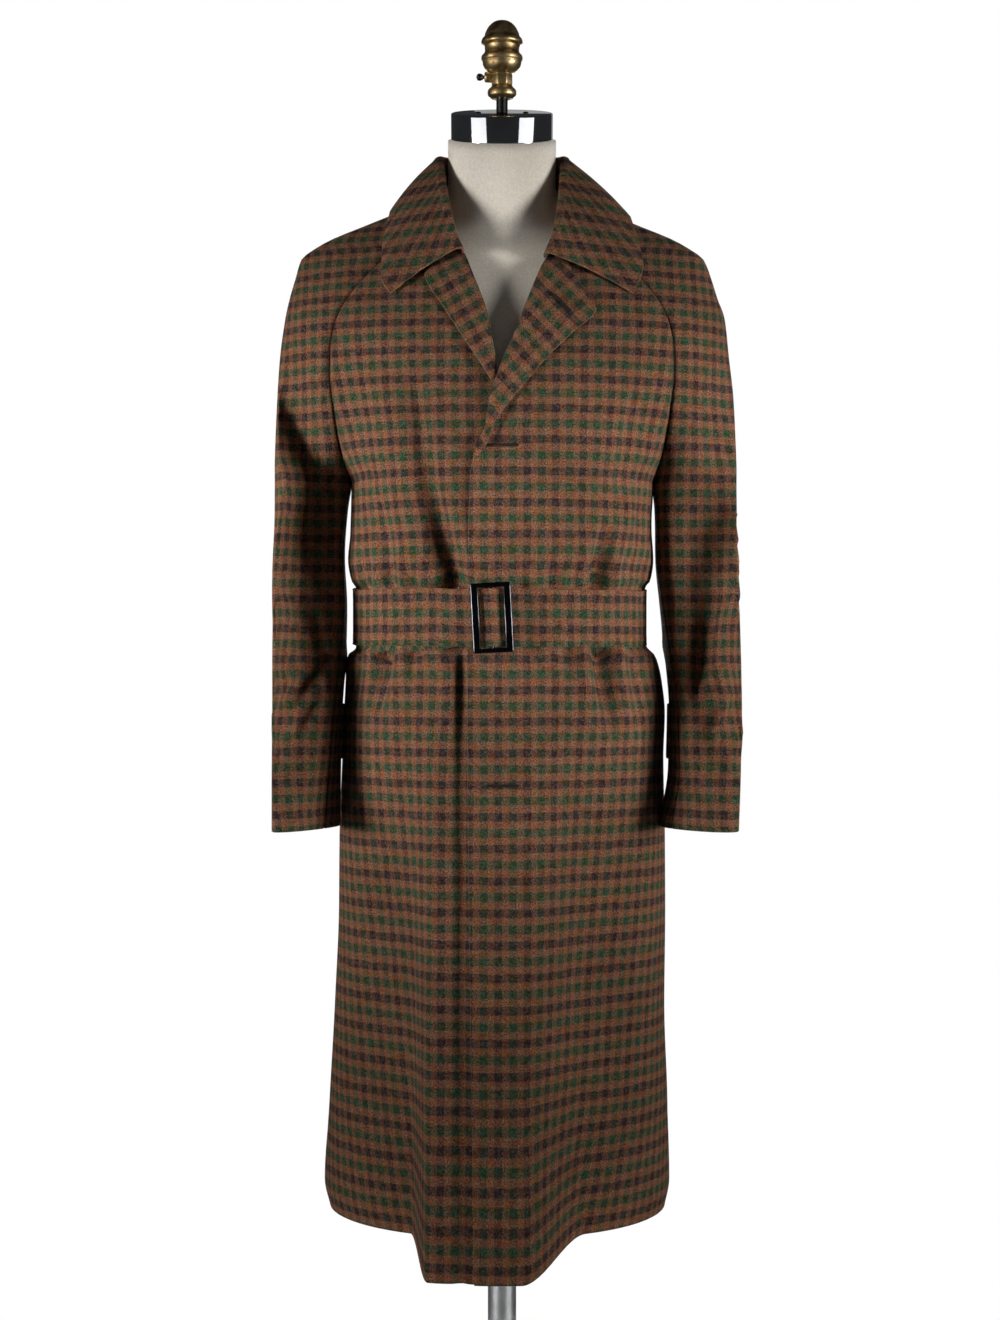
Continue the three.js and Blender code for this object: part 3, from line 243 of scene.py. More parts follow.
wool = bpy.data.materials.new("wool_twill_napped")
wool.use_nodes = True
tree = wool.node_tree
skin = tree.nodes["Principled BSDF"]
chart = put(tree, "ShaderNodeUVMap", uv_map="cloth").outputs[0]
wander = noise(tree, chart, 60.0, 2.0)
fibres = noise(tree, chart, 620.0, 2.0, 0.7)
little = strayed(tree, wander.outputs["Color"], STRAY)
smear = strayed(tree, fibres.outputs["Color"], FUZZ)
moved = put(tree, "ShaderNodeVectorMath", {0: chart, 1: little}, operation="ADD")
napped = put(tree, "ShaderNodeVectorMath", {0: moved.outputs[0], 1: smear}, operation="ADD")
axes = put(tree, "ShaderNodeSeparateXYZ", {0: napped.outputs[0]})
warp = stripes(tree, axes.outputs["X"], WARP_REPEAT, RUST_WARP, WARP_GREEN, WARP_PLUM)
weft = stripes(tree, axes.outputs["Y"], WEFT_REPEAT, RUST_WEFT, WEFT_GREEN, WEFT_PLUM)
diagonal = reckon(tree, "ADD", axes.outputs["X"], axes.outputs["Y"])
ribs = reckon(tree, "MULTIPLY", diagonal, 2 * math.pi * 1000 / TWILL)
wave = reckon(tree, "SINE", ribs)
over = ranged(tree, wave, -1.0, 1.0, WEFT_SHARE - 0.25, WEFT_SHARE + 0.25)
check = blend(tree, over, warp, weft)

# the yarns are blended of several wools, so the cloth is here and there a little tan, redder or yellower
yarns = noise(tree, chart, 260.0, 2.0)
tanned = blend(tree, ranged(tree, yarns.outputs["Fac"], 0.44, 0.68, 0.0, 0.32), check, linear(TAN))
neps = noise(tree, chart, 150.0, 1.0)
hues = put(tree, "ShaderNodeSeparateColor", {0: neps.outputs["Color"]})
redder = ranged(tree, hues.outputs[0], 0.45, 0.65, 0.0, 1.0)
yellower = ranged(tree, hues.outputs[1], 0.45, 0.65, 0.0, 1.0)
reddened = blend(tree, redder, tanned, linear(RED), "MULTIPLY")
heather = blend(tree, yellower, reddened, linear(OCHRE), "MULTIPLY")
flecks = ranged(tree, fibres.outputs["Fac"], 0.32, 0.68, 0.25, 1.75)
patches = noise(tree, chart, 9.0, 2.0)
tone = ranged(tree, patches.outputs["Fac"], 0.3, 0.7, 0.9, 1.1)
strength = reckon(tree, "MULTIPLY", flecks, tone)
dyed = put(tree, "ShaderNodeVectorMath", {0: heather, "Scale": strength}, operation="SCALE")

# the attribute is 1 on a pressed edge, where the nap is worn pale, and -1 in the bottom of a seam, where it
# paints shade
pale_edge_and_shade = put(tree, "ShaderNodeAttribute", attribute_name="pressed_edge_and_seam_shade").outputs["Fac"]
edged = blend(tree, ranged(tree, pale_edge_and_shade, 0.0, 1.0, 0.0, 0.7), dyed.outputs[0], linear(EDGE_TAN))
seam_shaded = blend(tree, ranged(tree, pale_edge_and_shade, 0.0, -1.0, 0.0, 0.9), edged, linear(SEAM_SHADE))
tree.links.new(seam_shaded, skin.inputs["Base Color"])
relief = reckon(tree, "ADD", reckon(tree, "MULTIPLY", wave, 0.3), fibres.outputs["Fac"])
bump = put(tree, "ShaderNodeBump", {"Height": relief, "Strength": 0.5, "Distance": 0.0008})
tree.links.new(bump.outputs[0], skin.inputs["Normal"])
skin.inputs["Roughness"].default_value = 0.96
skin.inputs["Specular IOR Level"].default_value = 0.05
skin.inputs["Sheen Weight"].default_value = 0.02
skin.inputs["Sheen Roughness"].default_value = 0.45
print("wool repeat, mm:", WARP_REPEAT, WEFT_REPEAT)

# %% [markdown]
# ## The pattern pieces
# A tailor drafts a coat as rows of measures at set heights: how wide, how deep in front, how deep
# behind. The tables below are those measures. Between the rows a smooth curve is drawn that never
# swings past them. The measured model came from such tables too. The seams, the edges, the sleeves'
# outlines and the collar have the same rows here; the waist, the folds, the lapels and the form have
# their own, and only here do the sleeves cave in.

# %% Curves through a table
CLOTH = 2.0  # thickness of the wool
SEAM_GAP = 0.36  # between two pieces where they are sewn
LIFT = 0.7  # air between a panel and what lies on it
HEM, HEM_FADE, HEM_DROP = 439, 620, 27  # the front hangs lower by the drop, which fades out upwards
UNDERARM, CUFF, NECK_ROW = 1232, 859, 1543
LAP = {"step": 4.4, "x": -75, "ramp": 37, "top": 1330, "fade": 70}
LAP_CREASE = {"x": -41, "half": 6, "top": 1060, "fade": 20, "deep": 9, "shallow": 4, "low": 900, "span": 130}
SQUARE = 0.57  # how square the body is in plan, 0.5523 being an ellipse
OVERARM_SEAM = 0.46  # where the over-arm seam runs, 0 at the front seam and 1 at the back one
HALVINGS = 34  # steps of a search for a place


def ease(value):
    t = np.clip(value, 0, 1)
    return t * t * (3 - 2 * t)


def column(heights, values):
    """A smooth curve through one column of a table, with no overshoot."""
    h, v = np.array(heights, float), np.array(values, float)
    step = np.diff(v) / np.diff(h)
    slope = np.concatenate([step[:1], np.zeros(len(v) - 2), step[-1:]])
    before, after = step[:-1], step[1:]
    same = before * after > 0
    slope[1:-1][same] = 2 * (before * after)[same] / (before + after)[same]

    def read(z):
        z = np.clip(np.asarray(z, float), h[0], h[-1])
        i = np.clip(np.searchsorted(h, z, side="right") - 1, 0, len(h) - 2)
        span = h[i + 1] - h[i]
        t = (z - h[i]) / span
        ends = (1 + 2 * t) * (1 - t) ** 2 * v[i] + t * t * (3 - 2 * t) * v[i + 1]
        return ends + span * t * (1 - t) * ((1 - t) * slope[i] - t * slope[i + 1])

    return read


def sections(names, rows):
    """A table whose first column is the height; the others are read by name."""
    heights = [row[0] for row in rows]
    return {name: column(heights, [row[i + 1] for row in rows]) for i, name in enumerate(names.split())}


def bezier(points, t):
    """A cubic curve in plan; each point is a pair of arrays."""
    s = 1 - t
    weights = (s * s * s, 3 * s * s * t, 3 * s * t * t, t * t * t)
    return [sum(w * p[axis] for w, p in zip(weights, points)) for axis in (0, 1)]


print("curves ready")

# %% Measures of the body and the armholes
BODY = sections(
    "right left side_y front back",
    [
        (439, 190, 180, 20, 152, 190),
        (466, 196, 185, 20, 152, 185),
        (554, 190, 182.6, 20, 152, 174),
        (664, 182.6, 178, 20, 152, 164),
        (774, 178, 179, 20, 152, 153),
        (840, 178, 179, 20, 151, 146),
        (928, 176, 178, 20, 149, 134),
        (980, 174, 180, 18, 143, 125),
        (1016, 171, 176, 12, 138, 117),
        (1036, 170, 171, 6, 135, 112),
        (1044, 167, 167, 4, 132, 109),
        (1054, 157, 155.5, 2, 127, 104),
        (1115, 157, 155.5, 0, 127, 104),
        (1126, 165, 161.5, 0, 132, 108.5),
        (1148, 169, 164.5, 0, 137, 112.5),
        (1180, 166, 163, 0, 141, 116),
        (1232, 164.8, 164.8, 0, 148, 124),
        (1280, 164.8, 164.8, 0, 150, 128),
        (1334, 164.8, 164.8, 0, 142, 130),
        (1400, 164.8, 164.8, 0, 118, 125),
        (1440, 164.8, 164.8, 0, 100, 117),
        (1465, 164.8, 164.8, 0, 86, 110),
        (1485, 164.8, 164.8, 0, 76, 101),
        (1505, 164.8, 164.8, 0, 60, 91),
        (1522, 164.8, 164.8, 0, 43, 83),
        (1543, 164.8, 164.8, 0, 30, 73),
    ],
)
KICK = sections(
    "height edge width",
    [
        (439, 84, -76, 20),
        (600, 56, -73, 24),
        (774, 29, -68, 32),
        (900, 13, -64, 40),
        (980, 5, -60, 44),
        (1036, 0, -60, 44),
    ],
)
KICK_START, KICK_WIDTH = 20, 68
FRONT_SEAM = sections(
    "x y body_angle arm_angle reach",
    [
        (1232, 165, 0, 90, -90, 117),
        (1258, 172, -45, 72, -66, 75),
        (1286, 177, -66, 55, -42, 48),
        (1316, 181, -80, 42, -22, 34),
        (1342, 184, -86, 34, -8, 30),
        (1368, 183.5, -88, 30, 3, 30),
        (1392, 180, -88, 28, 12, 31),
        (1414, 172, -84, 25, 17, 33),
        (1434, 159, -79.5, 23, 20, 36),
        (1456, 140.5, -71, 21, 20, 42),
        (1478, 119, -61, 22, 20, 44),
        (1500, 99, -48.5, 32, 25, 38),
        (1511, 91, -42.5, 42, 32, 30),
        (1522, 84.5, -37, 55, 45, 20),
        (1533, 81.5, -21, 65, 65, 10),
        (1543, 80.5, -7, 80, 80, 3),
    ],
)
BACK_SEAM = sections(
    "x y body_angle arm_angle reach",
    [
        (1232, 165, 0, -90, 270, 113),
        (1260, 172, 42, -72, 246, 78),
        (1290, 176, 62, -54, 222, 54),
        (1320, 176, 76, -42, 204, 42),
        (1357, 170, 87, -30, 188, 38),
        (1392, 160, 95, -22, 180, 38),
        (1432, 140, 100, -16, 174, 42),
        (1465, 118, 98, -14, 172, 46),
        (1500, 90, 90, -14, 170, 42),
        (1530, 72, 75, -22, 165, 30),
        (1543, 65, 65, -30, 158, 20),
    ],
)
OUTER_ARM = sections(
    "right left y lean front back",
    [
        (859, 228, 238, -80, 23, 87, 87),
        (920, 232.8, 242.3, -68, 19, 92, 90),
        (980, 236.8, 247.8, -54, 15, 98, 96),
        (1040, 240.6, 250.6, -40, 12, 104, 100),
        (1104, 244, 253, -27, 8, 110, 106),
        (1148, 246, 254.6, -18, 5, 113, 110),
        (1232, 248, 256, -10, 0, 117, 113),
        (1280, 247, 255, -10, 0, 86, 90),
        (1324, 245.5, 253, -10, 0, 64, 76),
        (1368, 243, 248.5, -8, 0, 50, 66),
        (1412, 237.5, 244, -6, 0, 41, 58),
        (1434, 233, 236.5, -4, 0, 37, 55),
        (1456, 227, 230, -2, 0, 34, 52),
        (1478, 220.5, 221.5, 0, 0, 31, 48),
        (1489, 207, 207, 0, 0, 28, 45),
        (1500, 187, 187, 0, 0, 25, 42),
        (1511, 160, 160, 0, 0, 22, 39),
        (1522, 133, 133, 0, 0, 18, 36),
        (1533, 106, 106, 0, 0, 12, 32),
        (1543, 83, 83, 0, 0, 5, 28),
    ],
)
INNER_ARM = sections(
    "right left y",
    [
        (859, 188.4, 179.6, -80),
        (920, 184.5, 189.2, -68),
        (980, 181, 188.7, -54),
        (1040, 175.5, 182.9, -40),
        (1104, 172.5, 174.5, -27),
        (1148, 174, 169.5, -18),
        (1200, 170, 168, -7),
        (1232, 165.2, 165.2, 0),
    ],
)
LEFT_EDGE = sections(
    "x",
    [
        (439, -28),
        (1050, -36),
        (1150, -34.5),
        (1232, -32.5),
        (1252, -28),
        (1280, -14.5),
        (1316, -8),
        (1350, 4),
        (1376, 15),
        (1418, 30.5),
        (1462, 48.5),
        (1485, 62),
        (1508, 73),
        (1522, 79),
    ],
)
RIGHT_EDGE = sections(
    "x",
    [
        (439, 24),
        (774, 28),
        (1036, 33),
        (1230, 33),
        (1260, 27),
        (1290, 13),
        (1316, -1),
        (1330, -8),
        (1365, -12),
        (1400, -18),
        (1425, -26.5),
        (1450, -36),
        (1472, -44),
        (1485, -56),
        (1508, -71),
        (1522, -78.5),
    ],
)
print("chest row, half width:", float(BODY["left"](UNDERARM)))

# %% [markdown]
# ## Folds
# Heavy wool doesn't crumple; it breaks into a few long soft folds where it is held. The belt gathers
# the body, so troughs run up and down from it, deepest at its edge, and the sleeves bend a little at the
# elbow. Each fold here is a soft trough between two places, with a low ridge beside it where the
# pushed-in cloth swells. Their lengths, depths and gaps are all a little different. The sleeves have
# no arms in them, so the front of each also caves in behind a ridge near its outer side, in one long
# hollow that little light reaches.

# %% Fold tables: from (across, height), to (across, height), depth, half width
BELT_TOP, BELT_FOOT = 1115, 1053
FRONT_FOLDS = [
    ((-97, 1350), (-65, 1135), 9, 13),
    ((-79, 1228), (-50, BELT_TOP), 17, 15),
    ((-130, 1215), (-119, BELT_TOP), 8, 9),
    ((112, 1190), (101, BELT_TOP), 15, 9),
    ((-136, 975), (-125, BELT_FOOT), 15, 10),
    ((116, 950), (103, BELT_FOOT), 14, 9),
    ((60, 1160), (54, BELT_TOP), 5, 10),
]
FRONT_CREASES = [
    ((-102, 1150), (-92, BELT_TOP), 4, 6),
    ((-144, 1205), (-144, BELT_TOP), 5, 7),
    ((-30, 1146), (-33, BELT_TOP), 2.4, 6),
    ((16, 1158), (18, BELT_TOP), 3, 8),
    ((82, 1158), (78, BELT_TOP), 3.6, 7),
    ((134, 1200), (130, BELT_TOP), 4.5, 8),
    ((151, 1257), (147, BELT_TOP), 4.5, 8),
    ((-98, 1010), (-90, BELT_FOOT), 4, 7),
    ((-56, 1020), (-52, BELT_FOOT), 2.6, 7),
    ((32, 1008), (30, BELT_FOOT), 3, 8),
    ((76, 1000), (68, BELT_FOOT), 4, 8),
    ((148, 955), (141, BELT_FOOT), 4.5, 8),
    ((-158, 965), (-150, BELT_FOOT), 4.5, 8),
    ((150, 1330), (122, 1200), 3.6, 17),
    ((-158, 1350), (-140, 1170), 4.2, 15),
    ((-124, 1330), (-112, 1200), 2.6, 18),
    ((10, 1312), (-14, 1250), 3.4, 8),
    ((96, 980), (118, 540), 5, 30),
    ((-116, 960), (-134, 520), 6, 26),
    ((30, 700), (44, 445), 4, 26),
]
BACK_FOLDS = [
    ((-110, 1215), (-100, BELT_TOP), 7, 12),
    ((-44, 1190), (-36, BELT_TOP), 6, 12),
    ((62, 1220), (54, BELT_TOP), 7, 13),
    ((-104, 940), (-94, BELT_FOOT), 7, 13),
    ((26, 920), (18, BELT_FOOT), 6, 13),
    ((114, 955), (102, BELT_FOOT), 7, 13),
]
BACK_CREASES = [
    ((-140, 1205), (-134, BELT_TOP), 4.5, 8),
    ((-78, 1165), (-70, BELT_TOP), 4, 7),
    ((12, 1170), (8, BELT_TOP), 3.6, 8),
    ((104, 1175), (94, BELT_TOP), 4.5, 8),
    ((142, 1195), (138, BELT_TOP), 4.5, 8),
    ((-64, 990), (-58, BELT_FOOT), 4, 8),
    ((-22, 1000), (-24, BELT_FOOT), 3, 7),
    ((68, 980), (60, BELT_FOOT), 4.5, 9),
    ((148, 955), (141, BELT_FOOT), 4.5, 9),
    ((-152, 960), (-143, BELT_FOOT), 4.5, 9),
    ((-70, 1010), (-92, 500), 6, 30),
    ((60, 1020), (76, 480), 6.5, 34),
    ((-6, 760), (-4, 445), 4.5, 26),
    ((-150, 1330), (-116, 1215), 5, 16),
    ((150, 1330), (112, 1215), 5, 16),
]
ARM_GIRTH = 300
ARM_FOLDS = {
    "right": [
        ((0.3, 1130), (0.1, 1020), 7, 12),
        ((0.1, 1046), (0.28, 985), 6, 11),
        ((0.66, 1140), (0.84, 1030), 6, 12),
    ],
    "left": [
        ((0.29, 1116), (0.1, 1004), 8, 12),
        ((0.22, 1056), (0.09, 985), 6, 10),
        ((0.66, 1150), (0.86, 1040), 6, 12),
    ],
}
ARM_CREASES = {
    "right": [
        ((0.2, 1290), (0.24, 1160), 3.5, 9),
        ((0.3, 1080), (0.14, 1030), 3.4, 8),
        ((0.1, 1010), (0.22, 955), 3.2, 8),
        ((0.34, 985), (0.2, 925), 3, 9),
        ((0.4, 1180), (0.34, 1080), 3.2, 12),
        ((0.86, 1180), (0.7, 1080), 4, 10),
        ((0.9, 1060), (0.76, 1000), 3.6, 9),
        ((0.62, 1000), (0.78, 940), 3, 9),
        ((0.75, 1380), (0.8, 1220), 5, 16),
    ],
    "left": [
        ((0.3, 1010), (0.14, 950), 3.6, 9),
        ((0.36, 975), (0.22, 915), 3, 9),
        ((0.44, 1200), (0.4, 1090), 3, 12),
        ((0.84, 1200), (0.7, 1090), 4, 10),
        ((0.9, 1070), (0.74, 1010), 3.6, 9),
        ((0.6, 1010), (0.78, 940), 3.2, 9),
        ((0.78, 1370), (0.82, 1210), 5, 16),
    ],
}


# how far the front of the sleeve has caved in, by height, and where round the right and the left arm
# its ridge stands
HOLLOW = [
    (862, 0, 0.34, 0.36),
    (890, 8, 0.35, 0.36),
    (930, 28, 0.34, 0.35),
    (985, 46, 0.35, 0.35),
    (1040, 56, 0.36, 0.36),
    (1110, 61, 0.37, 0.4),
    (1180, 60, 0.37, 0.43),
    (1232, 52, 0.36, 0.46),
    (1300, 34, 0.38, 0.47),
    (1363, 12, 0.42, 0.46),
    (1410, 0, 0.42, 0.44),
]


def troughs(folds, across, z, scale=1.0, ridge=0.0):
    """How deep the folds of a table are at a place; ridge is how much the cloth swells beside each."""
    total = np.zeros(np.broadcast(across, z).shape)
    for start, end, depth, width in folds:
        t = (z - start[1]) / (end[1] - start[1])
        beyond = np.abs(z - end[1]) * (t > 1)
        t = np.clip(t, 0, 1)
        off = (across - (start[0] + t * (end[0] - start[0]))) * scale / width
        if end[1] in (BELT_TOP, BELT_FOOT):  # held by the belt: deepest there, and gone a little way under it
            along = np.sin(np.pi / 2 * np.minimum(1, t * 1.25)) ** 1.3 * (1 - ease(beyond / 12))
        else:
            along = np.sin(np.pi * t) ** 0.8
        shape = np.exp(-off * off) - ridge * np.exp(-((np.abs(off) - 1.9) ** 2))
        total += depth * along * shape
    return total


print("folds on the body:", len(FRONT_FOLDS + FRONT_CREASES + BACK_FOLDS + BACK_CREASES))

# %% [markdown]
# ## Surfaces
# Each half of the body is one curve in plan from the centre line to a seam, and each sleeve is two
# curves, round the front and round the back. A surface is then a function: give it a place across and
# a height, and it gives a point.


# %% Body surfaces
def facing(surface, across, z, low, high):
    """The direction a surface faces, from four points close round a place."""
    step = 0.004 * (high - low)
    along = surface(np.minimum(high, across + step), z) - surface(np.maximum(low, across - step), z)
    up = surface(across, z + 1) - surface(across, z - 1)
    out = np.cross(along, up)
    return out / np.linalg.norm(out, axis=-1, keepdims=True)


def half_row(depth, end_x, end_y, angle, t):
    turn = np.radians(angle)
    rise = np.abs(depth - end_y)
    reach = SQUARE * rise * np.sin(turn) ** 2 + 0.42 * end_x * np.cos(turn) ** 2
    handle = (end_x - reach * np.cos(turn), end_y - reach * np.sin(turn))
    zero = np.zeros_like(depth)
    return bezier([(zero, depth), (SQUARE * end_x, depth), handle, (end_x, end_y)], t)


def seam_end(seam, side, across, z):
    high = z > UNDERARM
    width = np.where(across < 0, BODY[side[0]](z), BODY[side[1]](z))
    return np.where(high, seam["x"](z), width), np.where(high, seam["y"](z), BODY["side_y"](z))


def kick_out(x, z):
    rising = ease((x - KICK["edge"](z) + KICK["width"](z)) / KICK["width"](z))
    return rising * (1 - ease((x - KICK_START) / KICK_WIDTH)) * (z < 1036)


def front_base(across, z):
    """-1 at the right side seam, 0 on the centre line, 1 at the left side seam."""
    across, z = np.broadcast_arrays(np.asarray(across, float), np.asarray(z, float))
    end = seam_end(FRONT_SEAM, ("right", "left"), across, z)
    angle = np.where(z > UNDERARM, FRONT_SEAM["body_angle"](z), 90)
    width, y = half_row(-BODY["front"](z), *end, angle, np.abs(across))
    x = np.sign(across) * width
    kick = kick_out(x, z)
    drop = HEM_DROP * kick * ease((HEM_FADE - z) / (HEM_FADE - HEM))
    return np.stack([x, y - KICK["height"](z) * kick, z - drop], -1)


def back_base(across, z):
    """-1 at the left side seam and 1 at the right, so that the outside stays on one hand."""
    across, z = np.broadcast_arrays(np.asarray(across, float), np.asarray(z, float))
    end = seam_end(BACK_SEAM, ("left", "right"), across, z)
    angle = np.where(z > UNDERARM, BACK_SEAM["body_angle"](z), -90)
    width, y = half_row(BODY["back"](z), *end, angle, np.abs(across))
    return np.stack([-np.sign(across) * width, y, z], -1)


def folded(surface, folds, creases):
    def pressed(across, z):
        point = surface(across, z)
        depth = troughs(folds, point[..., 0], point[..., 2], 1.0, 0.25)
        depth += troughs(creases, point[..., 0], point[..., 2], 1.0, 0.4)
        return point - facing(surface, across, z, -1, 1) * depth[..., None]

    return pressed


front_surface = folded(front_base, FRONT_FOLDS, FRONT_CREASES)
back_surface = folded(back_base, BACK_FOLDS, BACK_CREASES)


def under_front(across, z):
    """The right front steps in under the left one, and is creased beside its edge below the belt."""
    point = front_surface(across, z)
    x, z = point[..., 0], np.asarray(z)
    step = LAP["step"] * ease((x - LAP["x"]) / LAP["ramp"]) * (1 - ease((z - LAP["top"]) / LAP["fade"]))
    crease = LAP_CREASE
    deeper = crease["deep"] - crease["shallow"]
    depth = crease["shallow"] + deeper * ease((z - crease["low"]) / crease["span"])
    dip = np.exp(-(((x - crease["x"]) / crease["half"]) ** 2)) * ease((crease["top"] - z) / crease["fade"])
    point[..., 1] += step + dip * depth
    return point


def front_place(x, z):
    """Where across a front row has this x."""
    x, z = np.broadcast_arrays(np.asarray(x, float), np.asarray(z, float))
    low, high = np.full(x.shape, -1.0), np.full(x.shape, 1.0)
    for _ in range(HALVINGS):
        middle = (low + high) / 2
        short = front_base(middle, z)[..., 0] < x
        low, high = np.where(short, middle, low), np.where(short, high, middle)
    return (low + high) / 2


print("centre of the chest:", np.round(front_base(0.0, 1280.0), 1))

# %% Sleeve surfaces
SIDES = {"right": -1, "left": 1}
CAVED = sections("depth right left", HOLLOW)


def arm_row(side, z):
    low = z <= UNDERARM
    start = [np.where(low, INNER_ARM[a](z), FRONT_SEAM[b](z)) for a, b in ((side, "x"), ("y", "y"))]
    finish = [np.where(low, INNER_ARM[a](z), BACK_SEAM[b](z)) for a, b in ((side, "x"), ("y", "y"))]
    lean = OUTER_ARM["lean"](z)
    leave = np.radians(np.where(low, lean - 90, FRONT_SEAM["arm_angle"](z)))
    arrive = np.radians(np.where(low, lean + 270, BACK_SEAM["arm_angle"](z)))
    turn = np.radians(lean + 90)
    outer = [OUTER_ARM[side](z), OUTER_ARM["y"](z)]
    reach_front = np.where(low, OUTER_ARM["front"](z), FRONT_SEAM["reach"](z))
    reach_back = np.where(low, OUTER_ARM["back"](z), BACK_SEAM["reach"](z))

    def step(place, angle, length):
        return (place[0] + length * np.cos(angle), place[1] + length * np.sin(angle))

    front = (start, step(start, leave, reach_front), step(outer, turn, -OUTER_ARM["front"](z)), outer)
    back = (outer, step(outer, turn, OUTER_ARM["back"](z)), step(finish, arrive, -reach_back), finish)
    return front, back


def arm_surface(side):
    """0 at the front seam, 0.5 on the outermost line, 1 at the back seam."""

    def base(around, z):
        around, z = np.broadcast_arrays(np.asarray(around, float), np.asarray(z, float))
        front, back = arm_row(side, z)
        ahead = bezier(front, np.clip(2 * around, 0, 1))
        behind = bezier(back, np.clip(2 * around - 1, 0, 1))
        x, y = [np.where(around < 0.5, a, b) for a, b in zip(ahead, behind)]
        reach = np.clip(around / CAVED[side](z), 0, 1)
        y = y + CAVED["depth"](z) * np.sin(np.pi * reach**1.3)
        return np.stack([SIDES[side] * x, y, z], -1)

    def surface(around, z):
        point = base(around, z)
        depth = troughs(ARM_FOLDS[side], around, z, ARM_GIRTH, 0.25)
        depth += troughs(ARM_CREASES[side], around, z, ARM_GIRTH, 0.4)
        return point - facing(base, around, z, 0, 1) * SIDES[side] * depth[..., None]

    return surface


ARM = {side: arm_surface(side) for side in SIDES}


def arm_facing(side, around, z):
    return facing(ARM[side], around, z, 0, 1) * SIDES[side]


print("outside of the left sleeve:", np.round(ARM["left"](0.5, 1232.0), 1))

# %% [markdown]
# ## From a surface to a panel
# A panel is a sheet of quads with the cloth's thickness behind it and a soft rounded rim. At a seam the
# edge is turned in, so the cloth dips along it in a narrow groove. The map of the cloth is measured
# along the rows in real length, with the grain upright at a line chosen for each piece, and up the
# piece by the length of its front line, so that the rows of the check meet at the seams.


# %% Meshes from grids
def mesh_piece(name, points, faces, chart=None, material=wool, edge=None):
    """A mesh object from points in millimetres, with its faces turned outwards."""
    mesh = bpy.data.meshes.new(name)
    corners = points[faces[:, :3]]
    volume = np.einsum("ij,ij->i", corners[:, 0], np.cross(corners[:, 1], corners[:, 2])).sum()
    if faces.shape[1] == 4:
        corners = points[faces[:, [0, 2, 3]]]
        volume += np.einsum("ij,ij->i", corners[:, 0], np.cross(corners[:, 1], corners[:, 2])).sum()
    if volume < 0:
        faces = faces[:, ::-1]
    mesh.from_pydata((points * MM).tolist(), [], faces.tolist())
    if chart is not None:
        layer = mesh.uv_layers.new(name="cloth")
        layer.data.foreach_set("uv", (chart[faces.ravel()] * MM).astype(np.float32).ravel())
    # this attribute carries the pale pressed edges and the painted shade along the seams
    if edge is not None:
        layer = mesh.attributes.new("pressed_edge_and_seam_shade", "FLOAT", "POINT")
        layer.data.foreach_set("value", edge.astype(np.float32))
    mesh.materials.append(material)
    mesh.polygons.foreach_set("use_smooth", [True] * len(mesh.polygons))
    mesh.update()
    piece = bpy.data.objects.new(name, mesh)
    bpy.context.scene.collection.objects.link(piece)
    return piece


SHARP_RIM, ROUND_RIM = 0.15, 0.7  # how far a raw edge and a turned edge bulge


def shell(outer, normals, chart, thickness, rims, sewn):
    """Points, faces, map and edge mark of a thin wall: rims are how far its four edges bulge (first
    and last row, first and last column), sewn says whether its first and last column is a seam."""
    rows, columns = outer.shape[:2]
    inner = outer - normals * thickness

    def rim(edge_outer, edge_inner, inside, bulge):
        away = edge_outer - inside
        away /= np.maximum(np.linalg.norm(away, axis=-1, keepdims=True), 1e-6)
        return (edge_outer + edge_inner) / 2 + away * bulge

    count = rows * columns
    index = np.arange(count).reshape(rows, columns)

    def quads(grid, back=False):
        a, b, c, d = grid[:-1, :-1], grid[:-1, 1:], grid[1:, 1:], grid[1:, :-1]
        order = (a, d, c, b) if back else (a, b, c, d)
        return np.stack(order, -1).reshape(-1, 4)

    loop = np.concatenate([index[0, :-1], index[:-1, -1], index[-1, :0:-1], index[:0:-1, 0]])
    flat_outer, flat_inner = outer.reshape(-1, 3), inner.reshape(-1, 3)
    step_in = np.concatenate([index[1, :-1], index[:-1, -2], index[-2, :0:-1], index[:0:-1, 1]])
    bulge = np.concatenate(
        [
            np.full(columns - 1, rims[0]),
            np.full(rows - 1, rims[3]),
            np.full(columns - 1, rims[1]),
            np.full(rows - 1, rims[2]),
        ]
    )
    middle = rim(flat_outer[loop], flat_inner[loop], flat_outer[step_in], bulge[:, None])
    points = np.concatenate([flat_outer, flat_inner, middle])
    around = np.arange(len(loop))
    after = np.roll(around, -1)
    to_middle = np.stack([loop, around + 2 * count, after + 2 * count, np.roll(loop, -1)], -1)
    to_inner = np.stack([around + 2 * count, loop + count, np.roll(loop, -1) + count, after + 2 * count], -1)
    faces = np.concatenate([quads(index), quads(index + count, back=True), to_middle, to_inner])
    flat_chart = chart.reshape(-1, 2)
    charts = np.concatenate([flat_chart, flat_chart, flat_chart[loop] + 0.6])
    # the first two columns at a seam, and the rim there, are marked below 0, and the wool paints them darker:
    # painted shade in the seam's groove
    mark = np.zeros((rows, columns))
    for columns_in, strength in ((0, 0.9), (1, 0.3)):
        mark[:, columns_in] -= strength * sewn[0]
        mark[:, -1 - columns_in] -= strength * sewn[1]
    turned_rim = bulge > (SHARP_RIM + ROUND_RIM) / 2
    edge = np.concatenate([mark.ravel(), np.zeros(count), np.where(turned_rim, 1.0, mark.ravel()[loop])])
    return points, faces, charts, edge


def spread(places, parts):
    """Places with this many steps between each two of them."""
    steps = [np.linspace(a, b, parts, endpoint=False) for a, b in zip(places, places[1:])]
    return np.append(np.concatenate(steps), places[-1])


EDGE_STEPS = np.array([0.006, 0.012, 0.02, 0.032])


def with_edges(places):
    """More places close to both ends of a panel, where the seams dip."""
    return np.unique(np.concatenate([places, EDGE_STEPS, 1 - EDGE_STEPS]).round(6))


